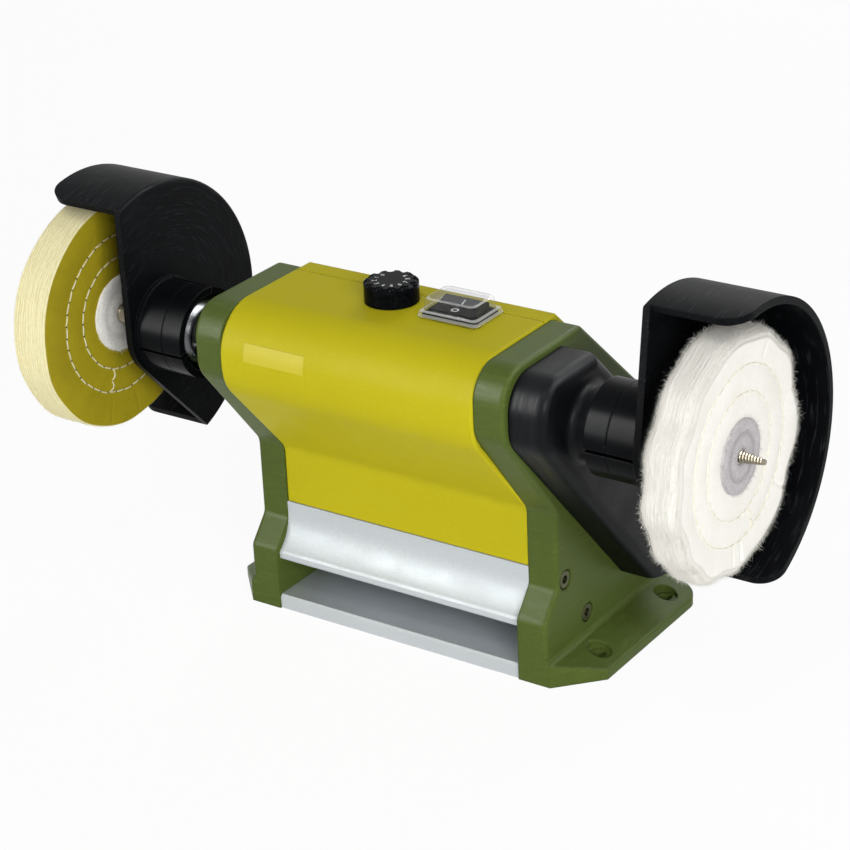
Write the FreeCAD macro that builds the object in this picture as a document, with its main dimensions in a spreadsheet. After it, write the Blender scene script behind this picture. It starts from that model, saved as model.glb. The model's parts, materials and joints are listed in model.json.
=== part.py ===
import FreeCAD, Part
import math
import operator
import os
from types import SimpleNamespace

import Sketcher
from FreeCAD import Placement, Rotation, Vector

# A twin-ended bench polishing lathe for dental technicians, in millimetres.
# X runs along the spindle, Y runs to the back and Z is up. The origin is the centre of the
# four foot holes, on the face that stands on the bench.

SIZES = {
    # stance on the bench
    "foot_pitch_across": 162.0,
    "foot_pitch_deep": 54.0,
    "foot_hole": 2.7,
    "foot_counterbore": 5.0,
    "foot_counterbore_floor": 5.0,
    "foot_reach": 17.5,
    "foot_root": 10.0,
    "foot_edge": 4.2,
    "foot_corner": 8.0,
    "foot_step": 0.2,
    "foot_blend": 3.0,
    "foot_round": 1.2,
    "shaft_height": 117.2,
    "shaft_setback": 46.7,
    # case between the end plates
    "case_width": 118.4,
    "plate_wall": 13.4,
    "plate_bulge_drop": 0.4,
    "plate_throat": 3.0,
    "plate_throat_drop": 44.9,
    "plate_ridge": 24.6,
    "plate_back": 88.0,
    "plate_back_drop": 31.6,
    "plate_toe": 6.5,
    "facet_top": 38.5,
    "facet_bottom": 27.5,
    "plate_edge": 2.0,
    "plate_corner": 14.0,
    "throat_corner": 8.0,
    # painted shell and its rear cover
    "shell_wall": 2.2,
    "shell_proud": 1.0,
    "shell_crown": 27.4,
    "shell_bulge": 33.1,
    "shell_bulge_drop": 3.4,
    "shell_step": 0.4,
    "shell_throat_drop": 45.6,
    "shell_corner": 20.0,
    "shell_edge": 1.0,
    "shell_joint": 0.4,
    "panel_fit": 0.1,
    "seam_back": 19.0,
    "seam_gap": 0.7,
    "cover_ridge": 28.0,
    "cover_step": 1.0,
    "cover_back_drop": 26.6,
    "vent_width": 44.0,
    "vent_height": 3.0,
    "vent_pitch": 7.0,
    "vent_drop": 12.0,
    "vent_shift": 26.0,
    "rear_screw_inset": 8.0,
    "strip_end_gap": 2.0,
    "strip_lap": 1.0,
    "strip_width": 5.6,
    "strip_thickness": 2.0,
    "plate_label_length": 29.0,
    "plate_label_height": 7.4,
    "plate_label_thickness": 0.25,
    "plate_label_inset": 11.7,
    "plate_label_rise": 8.6,
    # aluminium skirt and bottom plate
    "skirt_step": 0.2,
    "skirt_top": 46.2,
    "cove_top": 41.0,
    "cove_radius": 18.7,
    "cove_foot": 26.4,
    "lip_setback": 2.1,
    "lip_rise": 3.2,
    "lip_lean": 0.7,
    "lip_bevel": 1.0,
    "lip_bottom": 22.2,
    "floor_thickness": 2.6,
    "skirt_depth": 13.2,
    "skirt_front_wall": 2.4,
    "skirt_web": 2.0,
    "skirt_cell_floor": 1.4,
    "skirt_screw_wall": 5.0,
    "channel_width": 9.0,
    "channel_drop": 7.0,
    "upstand_height": 10.0,
    "upstand_thickness": 3.0,
    "bottom_thickness": 6.2,
    "bottom_setback": 0.8,
    "tongue_front": 8.0,
    "tongue_back": 80.0,
    "tongue_depth": 7.0,
    "tongue_screw_inset": 10.8,
    # belt cover and necks
    "belt_cover_depth": 16.6,
    "belt_cover_wall": 2.4,
    "belt_cover_front": 29.2,
    "belt_cover_top": 23.8,
    "belt_cover_ridge": 9.6,
    "belt_cover_fall": 1.6,
    "belt_cover_foot_back": 52.2,
    "belt_cover_bottom": 25.0,
    "belt_cover_back": 84.0,
    "belt_cover_corner": 14.0,
    "belt_cover_bend": 3.0,
    "belt_cover_edge": 5.0,
    "cover_screw_inset": 8.0,
    "cover_screw_rise": 22.0,
    "cover_foot_inset": 3.0,
    "cover_post_wall": 1.0,
    "cover_head_sink": 0.4,
    "neck_radius": 14.0,
    "neck_root": 3.6,
    "left_tube_radius": 11.4,
    "seat_radius": 16.0,
    "boss_radius": 13.8,
    "boss_length": 14.9,
    "neck_recess": 2.2,
    "seat_length": 18.0,
    "collar_fit": 0.05,
    "neck_flange": 20.0,
    "neck_flange_thickness": 3.5,
    "neck_screw_circle": 16.8,
    # spindle and its bearings
    "journal_radius": 5.0,
    "shoulder_radius": 6.2,
    "spindle_window": 8.0,
    "bearing_radius": 11.0,
    "bearing_width": 6.0,
    "bearing_inset": 3.6,
    "bearing_race": 1.8,
    "bearing_shield_step": 0.5,
    "bearing_fit": 0.02,
    "cap_thickness": 2.6,
    "cap_wall": 1.6,
    "cap_lip": 0.8,
    "running_gap": 0.3,
    "taper_start": 124.0,
    "taper_relief": 1.0,
    "taper_radius": 5.0,
    "taper_tip": 163.6,
    "taper_tip_radius": 1.0,
    # guards
    "guard_radius": 60.5,
    "guard_width": 39.6,
    "guard_wall": 3.0,
    "guard_hub": 22.0,
    "guard_edge": 2.0,
    "guard_lip_corner": 10.0,
    "guard_window": 12.0,
    "left_guard_face": 114.2,
    "right_guard_face": 121.4,
    "left_guard_tilt": 21.5,
    "right_guard_tilt": 13.3,
    "collar_radius": 19.2,
    "collar_length": 22.8,
    "collar_slit": 1.6,
    "collar_slit_angle": 83.0,
    "collar_line_inset": 9.5,
    "collar_line_depth": 0.25,
    "collar_foot": 0.8,
    "collar_foot_length": 1.6,
    # buffs
    "buff_radius": 50.0,
    "left_buff_face": 138.1,
    "left_buff_width": 15.5,
    "right_buff_face": 138.4,
    "right_buff_width": 15.0,
    "buff_round": 1.5,
    "buff_flare_start": 35.0,
    "left_buff_flare": 1.6,
    "right_buff_flare": 1.2,
    "left_hub_disc": 16.6,
    "right_hub_disc": 14.6,
    "hub_disc_thickness": 1.0,
    # belt drive
    "spindle_pulley_radius": 17.15,
    "motor_pulley_radius": 6.35,
    "pulley_width": 11.0,
    "pulley_gap": 2.0,
    "pulley_hub": 4.0,
    "pulley_rim": 3.0,
    "pulley_web": 1.5,
    "flange_radius": 9.6,
    "flange_thickness": 1.2,
    "belt_thickness": 1.6,
    "belt_width": 8.0,
    "belt_gap": 0.05,
    # motor
    "motor_back": 56.0,
    "motor_floor_gap": 4.2,
    "motor_radius": 25.0,
    "motor_wall": 1.8,
    "motor_can_length": 72.0,
    "motor_shield": 8.0,
    "motor_pilot": 9.0,
    "motor_pilot_length": 5.0,
    "motor_pilot_fit": 0.05,
    "motor_screw_circle": 18.0,
    "magnet_thickness": 3.0,
    "armature_gap": 0.6,
    "magnet_spacing": 17.5,
    "winding_overhang": 4.0,
    "winding_depth": 3.0,
    "winding_end": 3.0,
    "winding_bevel": 2.0,
    "commutator_radius": 9.0,
    "commutator_length": 8.0,
    "commutator_gap": 1.6,
    "brush_width": 5.0,
    "brush_gap": 0.05,
    "fan_radius": 17.5,
    "fan_width": 3.4,
    "fan_gap": 1.0,
    "fan_disc": 0.8,
    "fan_hub": 3.0,
    "fan_blade": 1.0,
    "motor_shaft_radius": 3.0,
    "motor_shaft_proud": 0.4,
    "motor_shaft_tail": 3.0,
    "motor_shaft_room": 1.0,
    "motor_bearing_radius": 8.0,
    "motor_bearing_width": 5.0,
    "motor_boss_wall": 2.0,
    "motor_boss_step": 1.0,
    # speed control
    "dial_left": 4.8,
    "dial_back": 9.3,
    "dial_radius": 11.0,
    "dial_height": 8.4,
    "dial_gap": 0.4,
    "dial_skirt": 2.0,
    "dial_roof": 1.6,
    "dial_edge": 0.9,
    "dial_nut_room": 1.6,
    "dimple_radius": 1.7,
    "dimple_inset": 0.9,
    "dimple_start": 5.7,
    "pot_radius": 8.0,
    "pot_depth": 8.0,
    "pot_bush": 3.5,
    "pot_shaft": 3.0,
    "pot_floor": 1.5,
    "pot_bush_proud": 0.3,
    "pot_nut": 5.2,
    "nut_thickness": 2.2,
    # rocker switch and its splash cover
    "switch_right": 27.2,
    "switch_back": 9.4,
    "splash_across": 27.8,
    "splash_deep": 20.6,
    "splash_base": 2.4,
    "splash_wall": 0.8,
    "splash_step": 1.0,
    "splash_height": 8.0,
    "splash_fit": 0.1,
    "splash_corner": 2.0,
    "splash_edge": 0.6,
    "bezel_height": 2.0,
    "switch_depth": 14.0,
    "switch_side_wall": 1.2,
    "switch_end_wall": 0.9,
    "switch_room": 6.0,
    "rocker_length": 12.4,
    "rocker_width": 20.0,
    "rocker_angle": 9.0,
    "rocker_rise": 4.0,
    "rocker_gap": 0.35,
    "rocker_belly": 2.4,
    "rocker_foot_inset": 1.2,
    "rocker_pin": 1.0,
    "rocker_pin_drop": 0.6,
    "rocker_pin_wall": 0.4,
    "spade_width": 4.8,
    "spade_thickness": 0.8,
    "spade_length": 6.0,
    "spade_reach": 6.0,
    "spade_back": 1.2,
    # control board
    "bracket_back": 24.0,
    "bracket_thickness": 1.5,
    "bracket_drop": 43.2,
    "bracket_height": 26.0,
    "bracket_flange": 12.0,
    "board_length": 92.0,
    "board_height": 22.0,
    "board_thickness": 1.6,
    "standoff_length": 6.0,
    "standoff_radius": 2.6,
    "standoff_side_inset": 4.0,
    "standoff_edge_inset": 3.5,
    "capacitor_radius": 5.0,
    "capacitor_height": 9.0,
    "capacitor_left": 28.0,
    "choke_radius": 6.0,
    "choke_height": 7.0,
    "choke_left": 12.0,
    "heat_sink_size": 16.0,
    "heat_sink_height": 8.0,
    "heat_sink_right": 2.0,
    "terminal_length": 14.0,
    "terminal_depth": 8.0,
    "terminal_height": 7.0,
    "terminal_right": 24.0,
    # cable gland
    "gland_inset": 15.2,
    "gland_clearance": 0.8,
    "gland_thread": 6.0,
    "gland_thread_length": 5.0,
    "gland_wall": 2.6,
    "gland_flange": 9.0,
    "gland_flange_length": 3.0,
    "gland_reach": 9.0,
    "gland_taper": 2.5,
    "gland_nut": 3.5,
    # screws: hole, shank and head
    "screw_tip_gap": 1.0,
    "head_clearance": 0.1,
    "head_sink": 0.2,
    "screw_hole": 2.2,
    "screw_shank": 2.0,
    "screw_head": 3.5,
    "screw_head_length": 3.2,
    "screw_length": 22.0,
    "head_recess": 4.3,
    "recess_depth": 3.6,
    "small_hole": 1.6,
    "small_shank": 1.5,
    "small_head": 2.7,
    "small_head_length": 2.0,
    "small_length": 9.0,
    "upper_screw_back": 8.9,
    "upper_screw_height": 41.2,
    "lower_screw_back": 25.1,
    "lower_screw_height": 18.9,
}

SIGNS = {"+": operator.add, "-": operator.sub, "*": operator.mul, "/": operator.truediv}
THREE = (90, 210, 330)
VENT_ROWS = 4
DIMPLES = 12
FAN_BLADES = 8
COLLAR_SLITS = 3

# How far a cut runs past the face it starts from, and a pad into the piece it grows on.
LAP = 1.0


class Size:
    """A size with the number it has now and the sheet expression that it follows."""

    def __init__(self, number, text):
        self.number = number
        self.text = text

    def __add__(self, other):
        return combine(self, "+", other)

    def __radd__(self, other):
        return combine(other, "+", self)

    def __sub__(self, other):
        return combine(self, "-", other)

    def __rsub__(self, other):
        return combine(other, "-", self)

    def __mul__(self, other):
        return combine(self, "*", other)

    def __rmul__(self, other):
        return combine(other, "*", self)

    def __truediv__(self, other):
        return combine(self, "/", other)

    def __neg__(self):
        return combine(0, "-", self)


def as_size(value):
    """A plain number becomes a size that never changes."""
    return value if isinstance(value, Size) else Size(value, repr(value))


def combine(left, sign, right):
    left = as_size(left)
    right = as_size(right)
    return Size(SIGNS[sign](left.number, right.number), f"({left.text} {sign} {right.text})")


def root(size):
    return Size(math.sqrt(size.number), f"sqrt({size.text})")


def cosine(size):
    size = as_size(size)
    return Size(math.cos(math.radians(size.number)), f"cos({size.text})")


def sine(size):
    size = as_size(size)
    return Size(math.sin(math.radians(size.number)), f"sin({size.text})")


def fill_sheet():
    """Write every driving size into the sheet and give it back as named sizes."""
    for row, (name, value) in enumerate(SIZES.items(), start=1):
        sheet.set(f"A{row}", name)
        sheet.set(f"B{row}", str(value))
        sheet.setAlias(f"B{row}", name)
    doc.recompute()
    return SimpleNamespace(**{name: Size(value, f"sizes.{name}") for name, value in SIZES.items()})


doc = FreeCAD.newDocument("polishing_lathe")
sheet = doc.addObject("Spreadsheet::Sheet", "sizes")
d = fill_sheet()
nodes = []

# Lines that many pieces share.
SHAFT_Y = -d.shaft_setback
SHAFT_Z = d.shaft_height
HALF = d.case_width / 2
OUTER = HALF + d.plate_wall
PANEL = SHAFT_Z + d.shell_crown
CROWN = PANEL - d.shell_proud
BULGE = SHAFT_Y - d.shell_bulge + d.shell_proud
TOE = SHAFT_Y - d.plate_toe
BACK = SHAFT_Y + d.plate_back
COVER_BACK = BACK - d.cover_step
FLOOR = d.lip_bottom + d.floor_thickness
LEFT_NECK = d.left_guard_face - d.neck_recess
RIGHT_NECK = d.right_guard_face - d.neck_recess
PULLEY = OUTER + d.pulley_gap
MOTOR_Y = SHAFT_Y + d.motor_back
MOTOR_Z = FLOOR + d.motor_floor_gap + d.motor_radius
MOTOR_DROP = SHAFT_Z - MOTOR_Z
COVER_FACE = OUTER + d.belt_cover_depth
DIAL_Y = SHAFT_Y + d.dial_back
SWITCH_Y = SHAFT_Y + d.switch_back
MOTOR_FRONT = HALF - d.motor_shield
MOTOR_REAR = MOTOR_FRONT - d.motor_can_length
ARMATURE_START = (
    MOTOR_REAR
    + d.motor_bearing_width
    + d.motor_boss_step
    + d.commutator_gap
    + d.commutator_length
    + d.winding_overhang
)
FAN_START = MOTOR_FRONT - d.fan_gap - d.fan_width
ARMATURE_END = FAN_START - d.fan_gap - d.winding_end
GLAND_X = d.gland_inset - HALF
GLAND_Z = d.lip_bottom + d.upstand_height + d.gland_clearance + d.gland_flange
BRACKET_BOTTOM = SHAFT_Z - d.bracket_drop
BOARD_Z = BRACKET_BOTTOM + d.bracket_height / 2
BRACKET_FACE = SHAFT_Y + d.bracket_back - d.bracket_thickness
BOARD_FACE = BRACKET_FACE - d.standoff_length - d.board_thickness


# ---- building blocks -------------------------------------------------------------------------


def bind(item, path, size):
    item.setExpression(path, as_size(size).text)


def keep(item, label):
    """Name a finished sub-part, which is also the name of its file."""
    item.Label = label
    nodes.append(item)
    return item


def new_body(at=(0, 0, 0), turn=None, angle=None):
    body = doc.addObject("PartDesign::Body", "Body")
    return put(body, at, turn, angle)


def put(item, at, turn=None, angle=None):
    """Place a piece, and turn it about an axis by an angle that may follow the sheet."""
    if turn is not None:
        item.Placement = Placement(Vector(), Rotation(Vector(*turn), as_size(angle).number))
    for axis, size in zip("xyz", at):
        bind(item, f"Placement.Base.{axis}", size)
    if isinstance(angle, Size):
        bind(item, "Placement.Rotation.Angle", angle)
    return item


def sketch_on(body, plane, level=0):
    """A sketch on one of the body's own planes, moved along that plane's normal."""
    planes = {item.Role: item for item in body.Origin.OriginFeatures}
    sketch = body.newObject("Sketcher::SketchObject", "Sketch")
    sketch.AttachmentSupport = (planes[plane], "")
    sketch.MapMode = "FlatFace"
    bind(sketch, "AttachmentOffset.Base.z", level)
    return sketch


def arc_side(start, end, radius, turn):
    """The shorter arc from start to end, anticlockwise where turn is 1."""
    chord = end - start
    rise = math.sqrt(max(radius * radius - chord.Length * chord.Length / 4, 0))
    left = Vector(-chord.y, chord.x, 0).normalize()
    centre = (start + end) / 2 + left * (rise * turn)
    first, last = (start, end) if turn > 0 else (end, start)
    angles = [math.atan2(point.y - centre.y, point.x - centre.x) for point in (first, last)]
    return Part.ArcOfCircle(Part.Circle(centre, Vector(0, 0, 1), radius), *angles)


def hold(sketch, constraints, sizes):
    """Add constraints, and let those that carry a size follow the sheet."""
    numbers = sketch.addConstraint(constraints)
    for number, size in zip(numbers, sizes):
        if size is not None:
            sketch.setExpression(f"Constraints[{number}]", size.text)


def outline(sketch, points):
    """A closed outline. A point with a radius and a turn starts an arc to the next point."""
    corners = [(as_size(point[0]), as_size(point[1])) for point in points]
    places = [Vector(across.number, up.number, 0) for across, up in corners]
    sides = []
    constraints = []
    sizes = []
    for index, point in enumerate(points):
        start = places[index]
        end = places[(index + 1) % len(points)]
        if len(point) == 2:
            number = sketch.addGeometry(Part.LineSegment(start, end))
            sides.append((number, 1, 2))
            continue
        radius = as_size(point[2])
        number = sketch.addGeometry(arc_side(start, end, radius.number, point[3]))
        sides.append((number, 1, 2) if point[3] > 0 else (number, 2, 1))
        constraints.append(Sketcher.Constraint("Radius", number, radius.number))
        sizes.append(radius)
    for index, (number, start, end) in enumerate(sides):
        before, _, before_end = sides[index - 1]
        across, up = corners[index]
        constraints.append(Sketcher.Constraint("Coincident", before, before_end, number, start))
        constraints.append(Sketcher.Constraint("DistanceX", -1, 1, number, start, across.number))
        constraints.append(Sketcher.Constraint("DistanceY", -1, 1, number, start, up.number))
        sizes.extend([None, across, up])
    hold(sketch, constraints, sizes)
    return sketch


def circle(sketch, across, up, radius):
    across, up, radius = as_size(across), as_size(up), as_size(radius)
    centre = Vector(across.number, up.number, 0)
    number = sketch.addGeometry(Part.Circle(centre, Vector(0, 0, 1), radius.number))
    constraints = [
        Sketcher.Constraint("Radius", number, radius.number),
        Sketcher.Constraint("DistanceX", -1, 1, number, 3, across.number),
        Sketcher.Constraint("DistanceY", -1, 1, number, 3, up.number),
    ]
    hold(sketch, constraints, [radius, across, up])
    return sketch


def pad(body, sketch, length, back=False):
    feature = body.newObject("PartDesign::Pad", "Pad")
    feature.Profile = sketch
    feature.Reversed = back
    bind(feature, "Length", length)
    return feature


def pocket(body, sketch, depth, back=False):
    """Cut against the sketch's normal, or along it where back is set, and make sure it cut."""
    doc.recompute()
    before = body.Tip.Shape.Volume
    feature = body.newObject("PartDesign::Pocket", "Pocket")
    feature.Profile = sketch
    feature.Reversed = back
    bind(feature, "Length", depth)
    doc.recompute()
    if not feature.Shape.Volume < before - 1e-6:
        raise RuntimeError(f"a pocket cut nothing from {body.Name}")
    return feature


def edges_where(shape, test):
    return [f"Edge{number}" for number, edge in enumerate(shape.Edges, 1) if test(edge)]


def dress(body, kind, amount, test):
    """Round the edges of the body that pass the test."""
    doc.recompute()
    tip = body.Tip
    names = edges_where(tip.Shape, test)
    if not names:
        raise RuntimeError(f"no edge of {body.Name} to dress")
    feature = body.newObject(f"PartDesign::{kind}", kind)
    feature.Base = (tip, names)
    bind(feature, "Radius" if kind == "Fillet" else "Size", amount)
    return feature


def hollow(body, wall, test):
    """Empty a solid, leaving a wall everywhere but on the faces that pass the test."""
    doc.recompute()
    tip = body.Tip
    names = [f"Face{number}" for number, face in enumerate(tip.Shape.Faces, 1) if test(face)]
    feature = body.newObject("PartDesign::Thickness", "Thickness")
    feature.Base = (tip, names)
    feature.Reversed = True
    feature.Join = "Intersection"
    bind(feature, "Value", wall)
    doc.recompute()
    if not 1 < feature.Shape.Volume < tip.Shape.Volume - 1e-6:
        raise RuntimeError(f"{body.Name} could not be hollowed")
    return feature


def rim(body, test):
    """A test for edges that lie on those that pass a test now, before the body is hollowed."""
    doc.recompute()
    kept = [edge.copy() for edge in body.Tip.Shape.Edges if test(edge)]

    def on_rim(edge):
        middle = Part.Vertex(edge.valueAt((edge.FirstParameter + edge.LastParameter) / 2))
        return any(middle.distToShape(other)[0] < 0.001 for other in kept)

    return on_rim


def near(one, other):
    return abs(one - as_size(other).number) < 0.01


def runs(edge, axis, **places):
    """Whether a straight edge runs along an axis through the places given for the others."""
    if len(edge.Vertexes) != 2:
        return False
    first, last = (vertex.Point for vertex in edge.Vertexes)
    along = abs(getattr(first, axis) - getattr(last, axis))
    same = all(near(getattr(end, name), place) for end in (first, last) for name, place in places.items())
    return same and along > 0.5 * edge.Length


def lies(shape, axis, place):
    """Whether a whole edge or face lies in the plane across an axis at a place."""
    box = shape.BoundBox
    low, high = getattr(box, f"{axis.upper()}Min"), getattr(box, f"{axis.upper()}Max")
    return near(low, place) and near(high, place)


def turned(profile, at, axis="x", turn=None, angle=None):
    """Revolve a half section of (along, radius) points about a line along X, Y or Z."""
    body = new_body(at, turn, angle)
    planes = {"x": ("XY_Plane", "H_Axis"), "y": ("YZ_Plane", "H_Axis"), "z": ("XZ_Plane", "V_Axis")}
    plane, line = planes[axis]
    points = [(point[1], point[0]) if axis == "z" else (point[0], point[1]) for point in profile]
    sketch = outline(sketch_on(body, plane), points)
    feature = body.newObject("PartDesign::Revolution", "Revolution")
    feature.Profile = sketch
    feature.ReferenceAxis = (sketch, [line])
    feature.Angle = 360
    return body


def prism(plane, level, points, length, back=False):
    body = new_body()
    pad(body, outline(sketch_on(body, plane, level), points), length, back)
    return body


def ring(start, end, inner, outer):
    return [(start, inner), (start, outer), (end, outer), (end, inner)]


def rod(start, end, radius):
    return [(start, 0), (start, radius), (end, radius), (end, 0)]


def box_at(lengths, at):
    item = doc.addObject("Part::Box", "Box")
    for name, size in zip(("Length", "Width", "Height"), lengths):
        bind(item, name, size)
    return put(item, at)


def rod_at(radius, length, at, axis="z"):
    """A cylinder that starts at a point and runs along +X, +Y or +Z."""
    item = doc.addObject("Part::Cylinder", "Cylinder")
    bind(item, "Radius", radius)
    bind(item, "Height", length)
    turn, angle = {"x": ((0, 1, 0), 90), "y": ((1, 0, 0), -90), "z": (None, None)}[axis]
    return put(item, at, turn, angle)


def joined(kind, items):
    item = doc.addObject(kind, "Join")
    if kind == "Part::Cut":
        item.Base, item.Tool = items
    elif kind == "Part::Compound":
        item.Links = items
    else:
        item.Shapes = items
    return item


def without(base, tools):
    """A piece with other shapes cut out of it."""
    tool = tools[0] if len(tools) == 1 else joined("Part::MultiFuse", tools)
    return joined("Part::Cut", (base, tool))


def group(items):
    """Separate solids that share one node."""
    return joined("Part::Compound", items)


def around(angle, radius, y, z):
    """A point on a circle about a line along X, with the angle counted from +Y towards +Z."""
    return y + radius * cosine(angle), z + radius * sine(angle)


def socket_screw(face, y, z, side, head, head_length, shank, length):
    """A socket-head screw that points from its head's seat at face towards the middle."""
    socket = head / 2
    socket_floor = side * (head_length / 2)
    profile = [
        (-side * length, 0),
        (-side * length, shank),
        (0, shank),
        (0, head),
        (side * head_length, head),
        (side * head_length, socket),
        (socket_floor, socket),
        (socket_floor, 0),
    ]
    return turned(profile, (side * face, y, z))


def plain_screw(face, way, at, axis, length):
    """A small screw with its head on a face, the head on the side that way gives."""
    profile = [
        (face + way * d.small_head_length, 0),
        (face + way * d.small_head_length, d.small_head),
        (face, d.small_head),
        (face, d.small_shank),
        (face - way * length, d.small_shank),
        (face - way * length, 0),
    ]
    return turned(profile, at, axis)


# ---- end plates with their feet --------------------------------------------------------------


def plate_outline():
    """The end plate seen along X: base, coved toe, bulge, crown and sloping back."""
    throat = SHAFT_Y + d.plate_throat
    return [
        (TOE, 0),
        (TOE, d.facet_bottom),
        (throat, d.facet_top),
        (throat, SHAFT_Z - d.plate_throat_drop),
        (BULGE, SHAFT_Z - d.plate_bulge_drop),
        (BULGE, CROWN),
        (SHAFT_Y + d.plate_ridge, CROWN),
        (BACK, SHAFT_Z - d.plate_back_drop),
        (BACK, 0),
    ]


def case_screw_places():
    """Where the two screws of each end plate go into the skirt."""
    upper = (SHAFT_Y + d.upper_screw_back, d.upper_screw_height)
    lower = (SHAFT_Y + d.lower_screw_back, d.lower_screw_height)
    return [upper, lower]


def bottom_screw_places():
    """Where the bottom plate's screws go on the +X side."""
    middle = HALF + d.tongue_depth / 2
    front = SHAFT_Y + d.tongue_front + d.tongue_screw_inset
    back = SHAFT_Y + d.tongue_back - d.tongue_screw_inset
    return [(middle, front), (middle, back)]


def bracket_screw_place():
    """The middle of the board bracket's flange."""
    return SHAFT_Y + d.bracket_back - d.bracket_flange / 2, BOARD_Z


def motor_screw_places(y=MOTOR_Y, z=MOTOR_Z):
    """Three places round the motor's axis."""
    return [around(angle + 90, d.motor_screw_circle, y, z) for angle in THREE]


def cover_screw_places():
    """Two places up the belt cover's back and one at its front foot."""
    back = SHAFT_Y + d.belt_cover_back - d.cover_screw_inset
    front = SHAFT_Y + d.belt_cover_foot_back + d.cover_foot_inset
    low = d.belt_cover_bottom + d.cover_screw_inset
    return [(back, low), (back, low + d.cover_screw_rise), (front, low)]


def drill(body, side, face, places, radius, depth):
    """Round holes that run from a face across X towards the middle of the machine."""
    for y, z in places:
        sketch = circle(sketch_on(body, "YZ_Plane", side * face), y, z, radius)
        pocket(body, sketch, depth, back=side < 0)


def end_plate(side):
    """A cast plate with its foot flange, on the +X or the -X end."""
    body = new_body()
    throat = SHAFT_Y + d.plate_throat
    pad(body, outline(sketch_on(body, "YZ_Plane", side * HALF), plate_outline()), d.plate_wall, side < 0)
    dress(
        body,
        "Fillet",
        d.plate_corner,
        lambda edge: runs(edge, "x", y=BULGE, z=CROWN)
        or runs(edge, "x", y=BULGE, z=SHAFT_Z - d.plate_bulge_drop),
    )
    dress(
        body,
        "Fillet",
        d.throat_corner,
        lambda edge: runs(edge, "x", y=throat, z=SHAFT_Z - d.plate_throat_drop),
    )
    dress(
        body,
        "Fillet",
        d.plate_edge * 2,
        lambda edge: runs(edge, "x", y=throat, z=d.facet_top)
        or runs(edge, "x", y=TOE, z=d.facet_bottom)
        or runs(edge, "x", y=SHAFT_Y + d.plate_ridge, z=CROWN),
    )
    dress(
        body,
        "Fillet",
        d.plate_edge,
        lambda edge: lies(edge, "x", side * OUTER) and not lies(edge, "z", 0),
    )
    edge_x = side * (OUTER + d.foot_reach)
    heel = BACK - LAP
    root_x = side * (HALF + LAP)
    fall = (d.foot_root - d.foot_edge) / d.foot_reach
    slant = root(1 + fall * fall)
    tangent = d.foot_blend * (slant - fall)
    blend_end = (side * (OUTER + tangent / slant), d.foot_root - tangent * fall / slant)
    flange = [
        (root_x, 0),
        (root_x, d.foot_root + tangent),
        (side * OUTER, d.foot_root + tangent, d.foot_blend, side),
        blend_end,
        (edge_x, d.foot_edge),
        (edge_x, 0),
    ]
    pad(body, outline(sketch_on(body, "XZ_Plane", -heel), flange), heel - TOE)
    dress(body, "Fillet", d.foot_round, lambda edge: runs(edge, "y", x=edge_x, z=d.foot_edge))
    past_edge = edge_x + side * LAP
    bevel = [
        (side * (OUTER + d.foot_step), TOE - LAP),
        (past_edge, TOE - LAP),
        (past_edge, TOE + d.foot_reach + LAP),
    ]
    pocket(body, outline(sketch_on(body, "XY_Plane", 0), bevel), d.foot_root + d.foot_blend, True)
    dress(body, "Fillet", d.foot_round, lambda edge: climbs(edge, side))
    corner = d.foot_corner
    heel_corner = [
        (edge_x, heel - corner, corner, side),
        (edge_x - side * corner, heel),
        (edge_x - side * corner, heel + LAP),
        (past_edge, heel + LAP),
        (past_edge, heel - corner),
    ]
    pocket(body, outline(sketch_on(body, "XY_Plane", 0), heel_corner), d.foot_root + LAP, True)
    for y in (-d.foot_pitch_deep / 2, d.foot_pitch_deep / 2):
        hole = circle(sketch_on(body, "XY_Plane", 0), side * d.foot_pitch_across / 2, y, d.foot_hole)
        pocket(body, hole, d.foot_root + LAP, True)
        seat = sketch_on(body, "XY_Plane", d.foot_counterbore_floor)
        circle(seat, side * d.foot_pitch_across / 2, y, d.foot_counterbore)
        pocket(body, seat, d.foot_root, True)
    tongue = [
        (side * (HALF - LAP), SHAFT_Y + d.tongue_front),
        (side * (HALF + d.tongue_depth), SHAFT_Y + d.tongue_front),
        (side * (HALF + d.tongue_depth), SHAFT_Y + d.tongue_back),
        (side * (HALF - LAP), SHAFT_Y + d.tongue_back),
    ]
    pocket(body, outline(sketch_on(body, "XY_Plane", 0), tongue), d.bottom_thickness, True)
    for x, y in bottom_screw_places():
        hole = circle(sketch_on(body, "XY_Plane", d.bottom_thickness), side * x, y, d.small_hole)
        pocket(body, hole, d.small_length, True)
    drill(body, side, OUTER, case_screw_places(), d.screw_hole, d.plate_wall)
    drill(body, side, OUTER, case_screw_places(), d.head_recess, d.recess_depth)
    drill(body, side, HALF + d.small_length, [bracket_screw_place()], d.small_hole, d.small_length)
    return body


def climbs(edge, side):
    """Whether a straight edge runs up the foot flange at its bevelled corner."""
    box = edge.BoundBox
    outside = min(side * box.XMin, side * box.XMax) > OUTER.number
    return outside and box.YLength > LAP and box.ZLength > LAP and edge.Curve.TypeId == "Part::GeomLine"


def left_plate():
    """The left plate carries a round boss with the bored seat of the left neck."""
    body = end_plate(-1)
    axis = (SHAFT_Y, SHAFT_Z)
    boss = circle(sketch_on(body, "YZ_Plane", -(OUTER - LAP)), *axis, d.boss_radius)
    pad(body, boss, d.boss_length + LAP, True)
    dress(body, "Fillet", d.plate_edge, lambda edge: lies(edge, "x", -(OUTER + d.boss_length)))
    bore = d.left_tube_radius + d.collar_fit
    drill(body, -1, OUTER + d.boss_length, [axis], bore, d.plate_wall + d.boss_length)
    drill(body, -1, HALF + d.small_length, neck_screw_places(), d.small_hole, d.small_length)
    return keep(body, "end_plate_left")


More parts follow.
